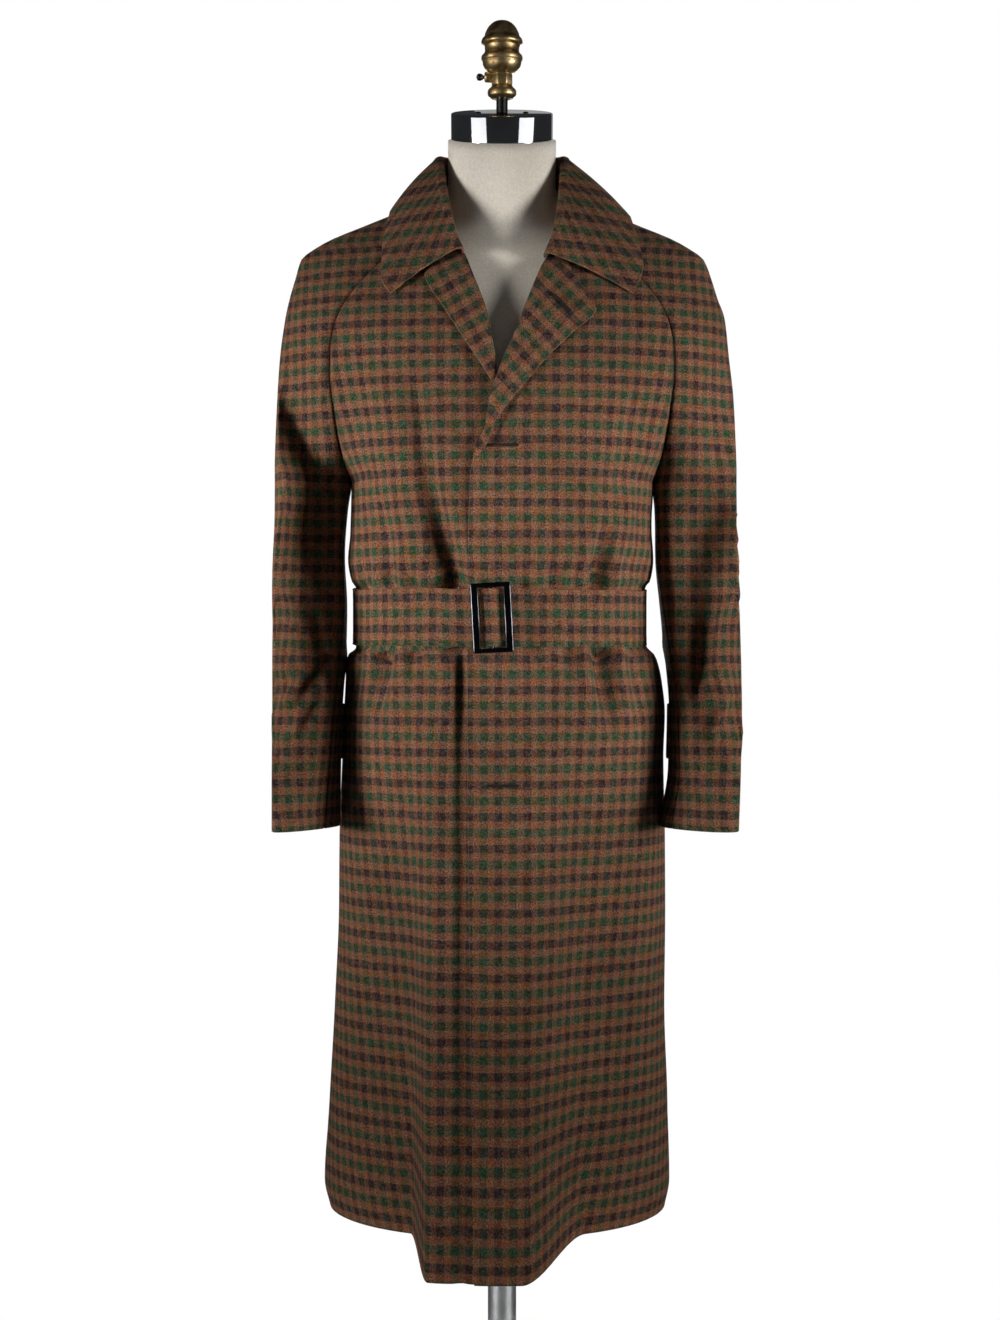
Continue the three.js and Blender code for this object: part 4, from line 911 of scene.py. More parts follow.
def front_length():
    z = np.arange(430.0, 1560.0, 2.0)
    steps = np.hypot(np.diff(z), np.diff(BODY["front"](z)) * (z[1:] > UNDERARM))
    return z, np.concatenate([[0], np.cumsum(steps)]) + z[0]


LENGTH_Z, LENGTH_V = front_length()


def grain(grid, heights, anchor):
    """The map of a panel: length along each row from the anchor x, and length up the front."""
    plan = np.linalg.norm(np.diff(grid[..., :2], axis=1), axis=-1)
    along = np.concatenate([np.zeros((len(grid), 1)), np.cumsum(plan, axis=1)], axis=1)
    x = grid[..., 0]
    sign = np.sign(x[:, -1] - x[:, 0])[:, None]
    nearest = np.abs(x - anchor).argmin(axis=1)[:, None]
    held = np.take_along_axis(along, nearest, 1), np.take_along_axis(x, nearest, 1)
    u = held[1] + sign * (along - held[0])
    v = np.interp(heights, LENGTH_Z, LENGTH_V)[:, None] + 0 * u
    return np.stack([u, v], -1)


def seam_dip(grid, normals, first, last, depth=1.4, reach=1.9):
    """Presses the seams at the first and last column in."""
    plan = np.linalg.norm(np.diff(grid, axis=1), axis=-1)
    along = np.concatenate([np.zeros((len(grid), 1)), np.cumsum(plan, axis=1)], axis=1)
    dip = first * np.exp(-((along / reach) ** 2)) + last * np.exp(-(((along[:, -1:] - along) / reach) ** 2))
    return grid - normals * (depth * dip)[..., None]


def open_seams(grid, first, last):
    """Draws the first and last column in towards the next one, to leave the seam open."""
    for end, inner, pull in ((0, 1, first), (-1, -2, last)):
        way = grid[:, inner] - grid[:, end]
        grid[:, end] += way / np.linalg.norm(way, axis=-1, keepdims=True) * pull[:, None]


def raglan_pull(seam, z, back=False):
    """Half the opening along a raglan seam, wider where the two pieces meet in a valley."""
    bend = np.abs(seam["body_angle"](z) - seam["arm_angle"](z))
    if back:
        half = np.abs(np.cos(np.radians(180 + seam["body_angle"](z) - seam["arm_angle"](z)) / 2))
    else:
        half = np.sin(np.radians(np.where(bend > 180, bend - 180, 180 - bend)) / 2)
    pull = np.minimum(0.7, SEAM_GAP / 2 / np.maximum(0.26, half))
    return np.where(z <= UNDERARM, SEAM_GAP / 2, pull)


sheets = []


WIDTH_ALLOWANCE, AREA_ALLOWANCE = 1.02, 1.01  # assumed: cut size over finished size


def cloth_piece(name, outer, normals, chart, thickness, rims, held, rests, sewn=(0, 0)):
    """Makes a sheet of cloth, reckons its cut size from the finished one, and lets it stand for its solid."""
    points, faces, charts, edge = shell(outer, normals, chart, thickness, rims, sewn)
    piece = mesh_piece(name, points, faces, charts, edge=edge)
    across = np.linalg.norm(np.diff(outer, axis=1), axis=-1).sum(axis=1).max()
    up = np.linalg.norm(np.diff(outer, axis=0), axis=-1).sum(axis=0).max()
    a, b = outer[1:, 1:] - outer[:-1, :-1], outer[1:, :-1] - outer[:-1, 1:]
    area = np.linalg.norm(np.cross(a, b), axis=-1).sum() / 2
    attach(piece, "root")
    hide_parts(name.replace("_cloth", ""))
    flat = (across * WIDTH_ALLOWANCE * MM, up * WIDTH_ALLOWANCE * MM)
    area = min(area * MM * MM * AREA_ALLOWANCE, flat[0] * flat[1])
    sheets.append((piece, flat, held, rests, area))
    print(f"{name}: {len(faces)} faces, cut {flat[0]:.2f} x {flat[1]:.2f} m, {area:.3f} square metres")
    return piece


# %% Fronts and back
ROW_STEP = 5.5
SKIRT_ROWS = [439, 480, 540, 620, 700, 780, 860, 920, 970, 1010, 1050]
WAIST_ROWS = [1085, 1119, 1145, 1185, UNDERARM]
RAGLAN_ROWS = [1258, 1286, 1316, 1342, 1368, 1392, 1414, 1434, 1456, 1478, 1489, 1500, 1511, 1522]
FRONT_ROWS = SKIRT_ROWS + WAIST_ROWS + RAGLAN_ROWS


def fine_rows(marks):
    """Rows about one row step apart that keep each mark."""
    parts = []
    for a, b in zip(marks, marks[1:]):
        parts.append(np.linspace(a, b, max(1, round((b - a) / ROW_STEP)), endpoint=False))
    return np.append(np.concatenate(parts), marks[-1])


RIGHT_COLUMNS = [0, 0.11, 0.22, 0.33, 0.44, 0.53, 0.59, 0.625, 0.65, 0.675, 0.7, 0.76, 0.84, 0.92, 1]
LEFT_COLUMNS = [0, 0.05, 0.11, 0.17, 0.24, 0.31, 0.38, 0.46, 0.55, 0.64, 0.74, 0.87, 1]


def body_panel(name, marks, columns, start, finish, surface, pulls, sewn, rims):
    """A front or the back; start, finish and pulls are functions of the height."""
    heights = fine_rows(marks)
    z = heights[:, None]
    share = with_edges(columns)[None, :]
    across = start(heights)[:, None] * (1 - share) + finish(heights)[:, None] * share
    grid = surface(across, z + 0 * across)
    normals = facing(surface, across, z + 0 * across, -1, 1)
    open_seams(grid, *[pull(heights) for pull in pulls])
    grid = seam_dip(grid, normals, *sewn)
    chart = grain(grid, heights, 0)
    return cloth_piece(name, grid, normals, chart, CLOTH, rims, "hung", ["form_torso"], sewn)


def still(value):
    """The same value at every height."""
    return lambda z: np.full(np.shape(z), value)


def front_pull(z):
    return raglan_pull(FRONT_SEAM, z)


def back_pull(z):
    return raglan_pull(BACK_SEAM, z, back=True)


RAW_EDGE = still(0.01)
body_panel(
    "right_front_cloth",
    FRONT_ROWS,
    spread(RIGHT_COLUMNS, 5),
    still(-1.0),
    lambda z: front_place(RIGHT_EDGE["x"](z), z),
    under_front,
    (front_pull, RAW_EDGE),
    (1, 0),
    (ROUND_RIM, SHARP_RIM, SHARP_RIM, ROUND_RIM),
)
body_panel(
    "left_front_cloth",
    FRONT_ROWS,
    spread(LEFT_COLUMNS, 5),
    lambda z: front_place(LEFT_EDGE["x"](z), z),
    still(1.0),
    front_surface,
    (RAW_EDGE, front_pull),
    (0, 1),
    (ROUND_RIM, SHARP_RIM, ROUND_RIM, SHARP_RIM),
)
body_panel(
    "back_cloth",
    FRONT_ROWS + [1533, NECK_ROW],
    spread([i / 16 for i in range(17)], 5),
    still(-1.0),
    still(1.0),
    back_surface,
    (back_pull, back_pull),
    (1, 1),
    (ROUND_RIM, SHARP_RIM, SHARP_RIM, SHARP_RIM),
)

# %% [markdown]
# ## Raglan sleeves
# A raglan sleeve runs up over the shoulder to the neck, so there is no seam round the top of the arm.
# Each is cut in two, front and back, and joined along the top of the shoulder and down the outside
# of the arm. The grain stands upright where the sleeve faces forwards.

# %% Sleeves
ARM_ROWS = [CUFF, 890, 920, 950, 980, 1010, 1040, 1070, 1104, 1145, 1185, UNDERARM]
SLEEVE_MARKS = ARM_ROWS + RAGLAN_ROWS + [1533, NECK_ROW]
GRAIN_AT = 205  # out from the middle of the coat, where the sleeve's grain stands upright


def sleeve_panel(name, side, start, finish, parts, pulls):
    heights = fine_rows(SLEEVE_MARKS)
    share = with_edges(spread([i / parts for i in range(parts + 1)], 5))[None, :]
    around = (start * (1 - share) + finish * share) + 0 * heights[:, None]
    z = heights[:, None] + 0 * around
    grid = ARM[side](around, z)
    normals = arm_facing(side, around, z)
    open_seams(grid, *[pull(heights) for pull in pulls])
    grid = seam_dip(grid, normals, 1, 1)
    chart = grain(grid, heights, GRAIN_AT * SIDES[side])
    rims = (ROUND_RIM, SHARP_RIM, SHARP_RIM, SHARP_RIM)
    return cloth_piece(name, grid, normals, chart, CLOTH, rims, "hung", ["form_torso"], sewn=(1, 1))


seam_half = still(SEAM_GAP / 2)
for side in SIDES:
    sleeve_panel(f"{side}_sleeve_front_cloth", side, 0, OVERARM_SEAM, 7, (front_pull, seam_half))
    sleeve_panel(f"{side}_sleeve_back_cloth", side, OVERARM_SEAM, 1, 8, (seam_half, back_pull))

# %% [markdown]
# ## Lapels and collar
# The lapel is the top of the front turned back on itself. It rolls round the front edge and lies on the
# chest, a little proud along the roll and flat at its point. The collar has a stand that rises from the
# neck seam and a leaf that falls from it over the shoulders, with its points on the chest.


# %% Smooth curves through stations
def through(stations):
    """A smooth curve through points; 0 is the first of them, 1 the second, and so on."""
    stations = np.asarray(stations, float)

    def read(t):
        t = np.asarray(t, float)
        i = np.minimum(len(stations) - 2, np.floor(t).astype(int))
        u = (t - i).reshape(t.shape + (1,) * (stations.ndim - 1))
        a, b, c, d = [stations[np.clip(i + k, 0, len(stations) - 1)] for k in (-1, 0, 1, 2)]
        curve = a * (-0.5 * u + u * u - 0.5 * u**3) + b * (1 - 2.5 * u * u + 1.5 * u**3)
        return curve + c * (0.5 * u + 2 * u * u - 1.5 * u**3) + d * (-0.5 * u * u + 0.5 * u**3)

    return read


def grid_facing(grid):
    """Normals of a grid of points from its neighbours."""
    along = np.gradient(grid, axis=1)
    up = np.gradient(grid, axis=0)
    out = np.cross(along, up)
    return out / np.maximum(np.linalg.norm(out, axis=-1, keepdims=True), 1e-9)


def on_coat(x, z, level):
    """A place on a front, or on the front of a sleeve, out from it by a level."""
    x, z, level = np.broadcast_arrays(np.asarray(x, float), np.asarray(z, float), np.asarray(level, float))
    across = front_place(x, z)
    on_body = front_base(across, z) + facing(front_base, across, z, -1, 1) * level[..., None]
    result = on_body
    for side, sign in SIDES.items():
        low, high = np.zeros(x.shape), np.full(x.shape, 0.5)
        for _ in range(HALVINGS):
            middle = (low + high) / 2
            short = np.abs(ARM[side](middle, z)[..., 0]) < np.abs(x)
            low, high = np.where(short, middle, low), np.where(short, high, middle)
        around = (low + high) / 2
        on_arm = ARM[side](around, z) + arm_facing(side, around, z) * level[..., None]
        beyond = (np.abs(x) > FRONT_SEAM["x"](z)) & (np.sign(x) == sign)
        result = np.where(beyond[..., None], on_arm, result)
    return result


# %% Lapels
LEFT_LAPEL = sections(
    "x",
    [
        (1248, -27.6),
        (1256, -20),
        (1264, -15.8),
        (1273, -13),
        (1284, -9),
        (1295, -1.5),
        (1304, 6),
        (1330, 27),
        (1352, 45),
        (1380, 72.5),
        (1407, 98),
        (1414, 94.5),
        (1434, 82.5),
        (1453, 72),
        (1464, 70),
        (1474, 70),
        (1484, 71),
    ],
)
RIGHT_LAPEL = sections(
    "x",
    [
        (1320, -6),
        (1340, -17.5),
        (1365, -33.6),
        (1405, -58.7),
        (1440, -80),
        (1447, -82),
        (1456, -73),
        (1465, -64),
        (1474, -60),
        (1482, -60),
    ],
)
LAPEL_MARKS = {
    "left": [1248, 1484],
    "right": [1320, 1482],
}
LAPEL_STEP, LAPEL_COLUMNS, LAPEL_THICKNESS = 2.6, 43, 2.3
GORGE = {"left": 1452, "right": 1458}  # above this height the lapel runs in under the collar
ROLL_CLEAR = 1.6
LAPEL_TURN = {"left": 45, "right": -27}  # the check lies along the lapel's outer edge


def lapel(side):
    sign = SIDES[side]
    edge, outer = (LEFT_EDGE, LEFT_LAPEL) if side == "left" else (RIGHT_EDGE, RIGHT_LAPEL)
    marks = LAPEL_MARKS[side]
    heights = np.append(np.arange(marks[0], marks[-1], LAPEL_STEP), marks[-1])
    flat = CLOTH + LIFT
    roll = flat + 3.2
    start = edge["x"](heights)
    width = np.abs(outer["x"](heights) - start)
    rising = ease((heights - marks[0]) / 12)  # it grows out of the front edge
    tucked = (1 - 0.62 * ease((heights - GORGE[side]) / 14)) * rising
    high = (flat + (roll - flat) * ease(width / 40)) * tucked
    zero = np.zeros_like(width)
    clear = (CLOTH + ROLL_CLEAR) * rising
    inward = [-clear, 0.2 - clear, zero - 0.8 * rising]
    level = [zero - 0.6, high * 0.6, high]
    for t in (0.25, 0.55, 0.8, 1):
        inward.append(t * width)
        level.append(high + (flat * tucked - high) * ease(t / 0.8))
    across = np.linspace(0, len(inward) - 1, LAPEL_COLUMNS)
    inward = through(inward)(across).T
    level = through(level)(across).T
    x = start[:, None] + sign * inward
    z = heights[:, None] + 0 * x
    grid = on_coat(x, z, level + 0.4)
    turn = math.radians(LAPEL_TURN[side])
    c, n = math.cos(turn), math.sin(turn)
    chart = np.stack([x * c - z * n, x * n + z * c], -1)
    normals = grid_facing(grid) * sign
    name, rests = f"{side}_lapel_cloth", [f"{side}_front_cloth"]
    return cloth_piece(name, grid, normals, chart, LAPEL_THICKNESS, (0.3, 0.3, 0.1, 0.8), "folded", rests)


for side in SIDES:
    lapel(side)

# %% Collar
COLLAR = [
    # foot of the stand, top of the roll, edge of the leaf (a depth of None lies on the coat)
    ((-42, -87, 1470), (-42, -93, 1474), (-116, None, 1424)),
    ((-53, -77, 1484), (-50.5, -84, 1496), (-125.5, None, 1438)),
    ((-68, -52, 1508), (-58, -62, 1530), (-127, None, 1470)),
    ((-75.5, -34, 1524), (-63, -36, 1560), (-125, None, 1498)),
    ((-77, -16, 1537), (-65.5, -16, 1580), (-122, -24, 1520)),
    ((-77, 2, 1545), (-66, 3, 1590), (-120, 6, 1532.5)),
    ((-71, 33, 1548), (-60, 33, 1595.5), (-113, 52, 1527)),
    ((-48, 56, 1550), (-43, 54, 1598.5), (-86, 98, 1511)),
    ((-24, 66, 1551), (-22, 63, 1600), (-44, 112, 1504)),
    ((0, 69, 1551), (0, 66, 1600.5), (0, 116, 1501)),
    ((24, 66, 1551), (22, 63, 1600), (46, 112, 1504)),
    ((48, 56, 1550), (43, 54, 1598.5), (92, 98, 1510)),
    ((71, 33, 1548), (60, 33, 1595.5), (124, 52, 1521)),
    ((77, 2, 1545), (66, 3, 1590), (137, 4, 1526.5)),
    ((77, -16, 1537), (65.5, -16, 1580), (141, -26, 1512)),
    ((75.5, -34, 1524), (64.5, -36, 1560), (144.5, None, 1492)),
    ((69, -52, 1508), (61.5, -60, 1532), (148, None, 1470)),
    ((58, -75, 1486), (56, -82, 1498), (148.5, None, 1452)),
    ((46, -89, 1465), (46, -95, 1469), (137, None, 1425)),
]
LEAF_LEVEL = CLOTH + 1.1
COLLAR_GRAIN = 150  # the check runs level all round, and upright across that
FOLD = 4.2  # radius of the collar's roll
COLLAR_THICKNESS = 2.2


def collar_profiles(foot, roll, edge):
    out = edge - roll
    out[..., 2] = 0
    out /= np.linalg.norm(out, axis=-1, keepdims=True)
    up = np.array([0, 0, 1.0])
    tall = np.minimum(1, (roll[..., 2:] - foot[..., 2:]) / 12)
    shoulder = roll + out * 2 * FOLD - up * FOLD * tall
    bulge = (up + out) / np.linalg.norm(up + out, axis=-1, keepdims=True) * 2.5
    stand = roll - up * FOLD * tall
    leaf = [shoulder + (edge - shoulder) * t + bulge * 4 * t * (1 - t) for t in (0.3, 0.6, 0.85, 1)]
    crest = [roll + out * FOLD * 0.35, roll + out * FOLD * 1.25 - up * FOLD * 0.12, shoulder]
    return np.stack([foot, (foot + stand) / 2, stand, *crest, *leaf])


def collar():
    lines = [[], [], []]
    for foot, roll, edge in COLLAR:
        if edge[1] is None:
            edge = on_coat(edge[0], edge[2], LEAF_LEVEL)
        for line, point in zip(lines, (foot, roll, edge)):
            line.append(np.asarray(point, float))
    count = (len(COLLAR) - 1) * 9
    t = np.linspace(0, len(COLLAR) - 1, count + 1)
    profiles = collar_profiles(*[through(line)(t) for line in lines])
    down = np.linspace(0, len(profiles) - 1, 46)
    grid = through(profiles)(down)
    normals = -grid_facing(grid)
    x, y, z = np.moveaxis(grid, -1, 0)
    turn = np.arctan2(x, -y)
    turn = np.where(turn < 0, turn + 2 * np.pi, turn)
    chart = np.stack([COLLAR_GRAIN * turn, z + 0.15 * np.hypot(x, y)], -1)
    rims, rests = (0.3, 0.9, 0.7, 0.7), ["back_cloth", "left_front_cloth"]
    return cloth_piece("collar_cloth", grid, normals, chart, COLLAR_THICKNESS, rims, "folded", rests)


collar()

# %% [markdown]
# ## Belt and buckle
# The belt is a stiff double band of the same cloth. One end is turned back round the bar of the
# buckle. The other goes once round the waist, under the frame, over the bar, out under the far
# rail, and on round the right side on top of the first layer.

# %% Belt
WAIST = {"z": 1085, "width": 60, "thickness": 3}
BUCKLE = {"x": -10, "z": 1082, "tilt": 3, "width": 42, "height": 73.4, "side": 7.5, "rail": 5, "depth": 4}
BUCKLE_LEVEL = 10.5
BAR = {"radius": 1.5, "level": 5.4}
BELT_LEVEL, LAYER = 2.2, 3.5
BELT_FIXED = [(-16, 2.1), (-13, 2.1)]
BELT_RISE = [(-14, 7.4), (-20, 5.3), (-28, 3.6), (-38, 2.5), (-50, BELT_LEVEL)]
BELT_TONGUE = [
    (30, BELT_LEVEL),
    (22, 3.4),
    (14, 6.2),
    (7.5, 7.6),
    (3, 8.3),
    (-1, 9.5),
    (-5, 11.2),
    (-10, 12.2),
    (-14, 11),
    (-20, 8.8),
    (-28, 7.2),
    (-38, 6),
    (-50, BELT_LEVEL + LAYER),
]
WRAP_RADIUS = 3.3
TONGUE_END = 2.72  # where the loose end stops, in quarters round the waist
FIRST_SAG, LOOSE_LIFT = -4.2, 1.4  # on the right side the two layers don't quite lie edge to edge


def waist_point(turn):
    """Round the waist: 0 at the front centre, 1 the left side, 2 the back, 3 the right side."""
    t = np.mod(turn, 4)
    front = front_base(np.where(t <= 1, t, np.where(t > 3, t - 4, 0)), WAIST["z"])
    behind = back_base(np.clip(t - 2, -1, 1), WAIST["z"])
    return np.where(((t > 1) & (t <= 3))[..., None], behind, front)


def waist_facing(turn):
    along = waist_point(turn + 0.01) - waist_point(turn - 0.01)
    out = np.stack([along[..., 1], -along[..., 0], 0 * along[..., 0]], -1)
    return out / np.linalg.norm(out, axis=-1, keepdims=True)


def turn_at(x):
    across = front_place(x, WAIST["z"])
    return np.where(across < 0, across + 4, across)


def belt():
    path = [(float(turn_at(x)), level, 0.0) for x, level in BELT_FIXED]
    for i in range(7):
        angle = math.radians(-90 + 30 * i)
        x = BUCKLE["x"] + WRAP_RADIUS * math.cos(angle)
        path.append((float(turn_at(x)), BAR["level"] + WRAP_RADIUS * math.sin(angle), 0.0))
    path += [(float(turn_at(x)), level, 0.0) for x, level in BELT_RISE]
    start, finish = float(turn_at(-50)), float(turn_at(30))
    for turn in np.linspace(start, finish, 44)[1:-1]:
        sag = FIRST_SAG * float(ease((turn - 2.4) / 0.5) * ease((4 - turn) / 0.3))
        path.append((turn, BELT_LEVEL, sag))
    path += [(float(turn_at(x)), level, 0.0) for x, level in BELT_TONGUE]
    for turn in np.linspace(start, TONGUE_END, 16)[1:]:
        path.append((turn, BELT_LEVEL + LAYER, LOOSE_LIFT * float(ease((4 - turn) / 0.3))))
    turns, levels, lifts = np.array(path).T
    line = waist_point(turns) + waist_facing(turns) * levels[:, None]
    fine = np.linspace(0, len(line) - 1, (len(line) - 1) * 4 + 1)
    line = through(line)(fine)
    lifts = np.interp(fine, np.arange(len(lifts)), lifts)
    way = np.gradient(line, axis=0)
    sides = np.stack([way[:, 1], -way[:, 0], 0 * way[:, 0]], -1)
    sides /= np.linalg.norm(sides, axis=-1, keepdims=True)
    shear = math.tan(math.radians(BUCKLE["tilt"]))
    near = 1 - ease((np.abs(line[:, 0] - BUCKLE["x"]) - 24) / 30)
    middle = WAIST["z"] + 3 + (BUCKLE["z"] - WAIST["z"] - 3) * ease((60 - line[:, 1]) / 120)
    ahead = np.where(line[:, 1] < 0, near, 0)
    half = WAIST["width"] / 2
    upper = np.array([0.3, 0.6, 0.8, 0.88, 0.94, 0.985, 1])
    ups = np.concatenate([-upper[::-1], [0], upper]) * half
    rows = []
    for up in ups:
        shifted = line.copy()
        shifted[:, 0] -= shear * up * ahead
        shifted[:, 2] = middle + up + lifts * (1 - ahead)
        thin = 0.55 * (abs(up) / half) ** 14 + 0.22 * math.exp(-(((half - abs(up) - 5.5) / 1.2) ** 2))
        rows.append(shifted + sides * (WAIST["thickness"] / 2 - thin))
    grid = np.array(rows)
    normals = np.broadcast_to(sides, grid.shape)
    u = np.concatenate([[0], np.cumsum(np.linalg.norm(np.diff(line, axis=0), axis=-1))])
    chart = np.stack(np.broadcast_arrays(u[None, :], ups[:, None] + 8), -1)
    rims, rests = (0.5, 0.5, 0.4, 0.4), ["back_cloth"]
    return cloth_piece("belt_cloth", grid, normals, chart, WAIST["thickness"] - 0.4, rims, "folded", rests)


belt()

# %% [markdown]
# ## Cuff straps
# Each sleeve has a short strap of the same cloth, sewn down behind and pointed at its free end. It lies
# round the arm above the cuff, just clear of the sleeve up to the sewn end.

# %% Cuff straps
STRAP = {"low": 931, "high": 990, "thickness": 2.6, "clear": 0.6, "sewn_down": 1.6}
STRAP_START = {"right": (0.565, 0.595), "left": (0.435, 0.46)}  # its point, its shoulders, round the arm
STRAP_NOSE = 0.006  # how far its blunt corners reach past its shoulders
STRAP_FINISH = OVERARM_SEAM + (1 - OVERARM_SEAM) * 7 / 8


def cuff_strap(side):
    point, shoulder = STRAP_START[side]
    up = np.array([0, 0.02, 0.06, 0.12, 0.22, 0.36, 0.5, 0.64, 0.78, 0.88, 0.94, 0.98, 1])
    z = (STRAP["low"] + (STRAP["high"] - STRAP["low"]) * up)[:, None]
    start = point + (shoulder - STRAP_NOSE - point) * np.abs(2 * up - 1)
    share = np.unique(np.concatenate([np.linspace(0, 1, 40), [0.008, 0.018]]))[None, :]
    around = start[:, None] * (1 - share) + STRAP_FINISH * share
    z = z + 0 * around
    thin = 0.5 * (np.abs(2 * up - 1) ** 14)[:, None] + 0.5 * np.exp(-share * 60)
    normals = arm_facing(side, around, z)
    sewn_down = STRAP["sewn_down"] * ease((share - 0.82) / 0.18)
    level = STRAP["thickness"] + STRAP["clear"] - thin - sewn_down
    grid = ARM[side](around, z) + normals * level[..., None]
    u = np.cumsum(np.linalg.norm(np.diff(grid, axis=1, prepend=grid[:, :1]), axis=-1), axis=1)
    chart = np.stack([u, z], -1)
    name, rests = f"{side}_cuff_strap_cloth", [f"{side}_sleeve_back_cloth"]
    rims = (0.5, 0.5, 0.5, 0.1)
    return cloth_piece(name, grid, normals, chart, STRAP["thickness"] - 0.4, rims, "folded", rests)


for side in SIDES:
    cuff_strap(side)

# %% [markdown]
# ## Buttonholes
# A tailored buttonhole is a cut whose two lips are worked over with close stitches of silk twist. Here each
# is one soft cord laid round the cut, its thickness rising and falling once a stitch, and a near-black cord
# in the cut between the lips is painted shade. Two show on the left front, one on the lapel, and one more
# hides under the belt.

# %% Buttonholes
TWIST = {"radius": 0.75, "swell": 0.22, "stitch": 1.1, "gap": 0.9}
SLIT = {"radius": 0.75, "length": 0.94, "gap": 0.06, "proud": 0.3}  # length and gap as shares of the twist's
# name, middle x, middle z, turn in degrees, length, lift off the cloth
BUTTONHOLES = [
    ("buttonhole_top", 0.5, 1261, 0, 32, 0.4),
    ("buttonhole_middle", 0.5, 1084.5, 0, 32, 0.0),
    ("buttonhole_low", 0.5, 908, 0, 32, 0.8),
    ("buttonhole_lapel", 63, 1411, -47, 26, CLOTH + LIFT + 3.2),
]

silk = bpy.data.materials.new("silk_twist_matt")
silk.use_nodes = True
silk_skin = silk.node_tree.nodes["Principled BSDF"]
place = put(silk.node_tree, "ShaderNodeTexCoord")
speckle = put(silk.node_tree, "ShaderNodeTexNoise", {"Vector": place.outputs["Object"], "Scale": 900.0})
shades = blend(silk.node_tree, speckle.outputs["Fac"], linear("#0e0b09"), linear("#2a1f17"))
silk.node_tree.links.new(shades, silk_skin.inputs["Base Color"])
silk_skin.inputs["Roughness"].default_value = 0.8
silk_skin.inputs["Specular IOR Level"].default_value = 0.15
# the slit's material is near black: painted shade for the dark inside of the cut
cut = bpy.data.materials.new("buttonhole_slit_painted_shade")
cut.use_nodes = True
slit_shade_skin = cut.node_tree.nodes["Principled BSDF"]
slit_shade_skin.inputs["Base Color"].default_value = linear("#0b0908")
slit_shade_skin.inputs["Roughness"].default_value = 1.0


def tube(line, radius, ring=8):
    """Points and faces of a closed cord along a closed line; radius may change from point to point."""
    way = np.roll(line, -1, axis=0) - np.roll(line, 1, axis=0)
    way /= np.linalg.norm(way, axis=-1, keepdims=True)
    side = np.cross(way, np.array([0.0, -1.0, 0.0]))
    side /= np.linalg.norm(side, axis=-1, keepdims=True)
    top = np.cross(side, way)
    turn = np.linspace(0, 2 * np.pi, ring, endpoint=False)
    points = line[:, None] + radius[:, None, None] * (
        side[:, None] * np.cos(turn)[None, :, None] + top[:, None] * np.sin(turn)[None, :, None]
    )
    index = np.arange(len(line) * ring).reshape(len(line), ring)
    after, beside = np.roll(index, -1, axis=0), np.roll(index, -1, axis=1)
    faces = np.stack([index, beside, np.roll(after, -1, axis=1), after], -1).reshape(-1, 4)
    return points.reshape(-1, 3), faces


def buttonhole(name, x, z, turn, length, lift):
    half, gap = length / 2, TWIST["gap"]
    count = int(2 * length / TWIST["stitch"]) * 4
    t = np.linspace(0, 2 * np.pi, count, endpoint=False)
    along = half * np.sign(np.cos(t)) * np.abs(np.cos(t)) ** 0.55
    across = gap * np.sign(np.sin(t)) * np.abs(np.sin(t)) ** 0.35
    c, n = math.cos(math.radians(turn)), math.sin(math.radians(turn))
    px, pz = x + along * c - across * n, z + along * n + across * c
    share = front_place(px, pz)
    out = facing(front_surface, share, pz, -1, 1)
    line = front_surface(share, pz) + out * lift
    radius = TWIST["radius"] + TWIST["swell"] * np.sin(np.arange(count) * np.pi / 2)
    points, faces = tube(line, radius)
    middle = line.mean(axis=0)
    way = np.array([c, 0.0, n])
    # the slit: a thin near-black cord sunk in the cut, standing for its shade
    slit = middle + way * ((line - middle) @ way)[:, None] * SLIT["length"] + (line - middle) * SLIT["gap"]
    slit[:, 1] = line[:, 1] - SLIT["proud"]
    slit = slit[::4]
    slit_points, slit_faces = tube(slit, np.full(len(slit), SLIT["radius"]), 6)
    all_points = np.concatenate([points, slit_points])
    all_faces = np.concatenate([faces, slit_faces + len(points)])
    piece = mesh_piece(name, all_points, all_faces, material=silk)
    piece.data.materials.append(cut)
    for face in list(piece.data.polygons)[len(faces) :]:
        face.material_index = 1
    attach(piece, "root")
    return piece


for row in BUTTONHOLES:
    buttonhole(*row)
print("buttonholes:", len(BUTTONHOLES))

# %% [markdown]
# ## The dress form
# The form is a moulded shell padded and covered with fine cream canvas, drawn here as rings from the
# hip to the neck. It is rigid, so it needs no drape: the rings are measures again, with a smooth curve
# between them, and the neck rises out of the shoulders.

# %% Canvas
canvas = bpy.data.materials.new("cotton_canvas_cream")
canvas.use_nodes = True
tree = canvas.node_tree
skin = tree.nodes["Principled BSDF"]
place = put(tree, "ShaderNodeTexCoord")
split = put(tree, "ShaderNodeSeparateXYZ", {0: place.outputs["Object"]})
THREAD = 1.6  # twice as coarse as the real weave, so that it shows
weave = []
for axis in ("X", "Z"):
    threads = reckon(tree, "MULTIPLY", split.outputs[axis], 2 * math.pi * 1000 / THREAD)
    weave.append(reckon(tree, "SINE", threads))
woven = reckon(tree, "MULTIPLY", *weave)
soil = noise(tree, place.outputs["Object"], 14.0, 4.0)
slubs = noise(tree, place.outputs["Object"], 420.0, 2.0)
faded = ranged(tree, soil.outputs["Fac"], 0.3, 0.7, 0.0, 1.0)
creams = blend(tree, faded, linear("#e0d6c5"), linear("#ece4d6"))
grainy = ranged(tree, slubs.outputs["Fac"], 0.3, 0.7, 0.92, 1.08)
tint = put(tree, "ShaderNodeVectorMath", {0: creams, "Scale": grainy}, operation="SCALE")
tree.links.new(tint.outputs[0], skin.inputs["Base Color"])
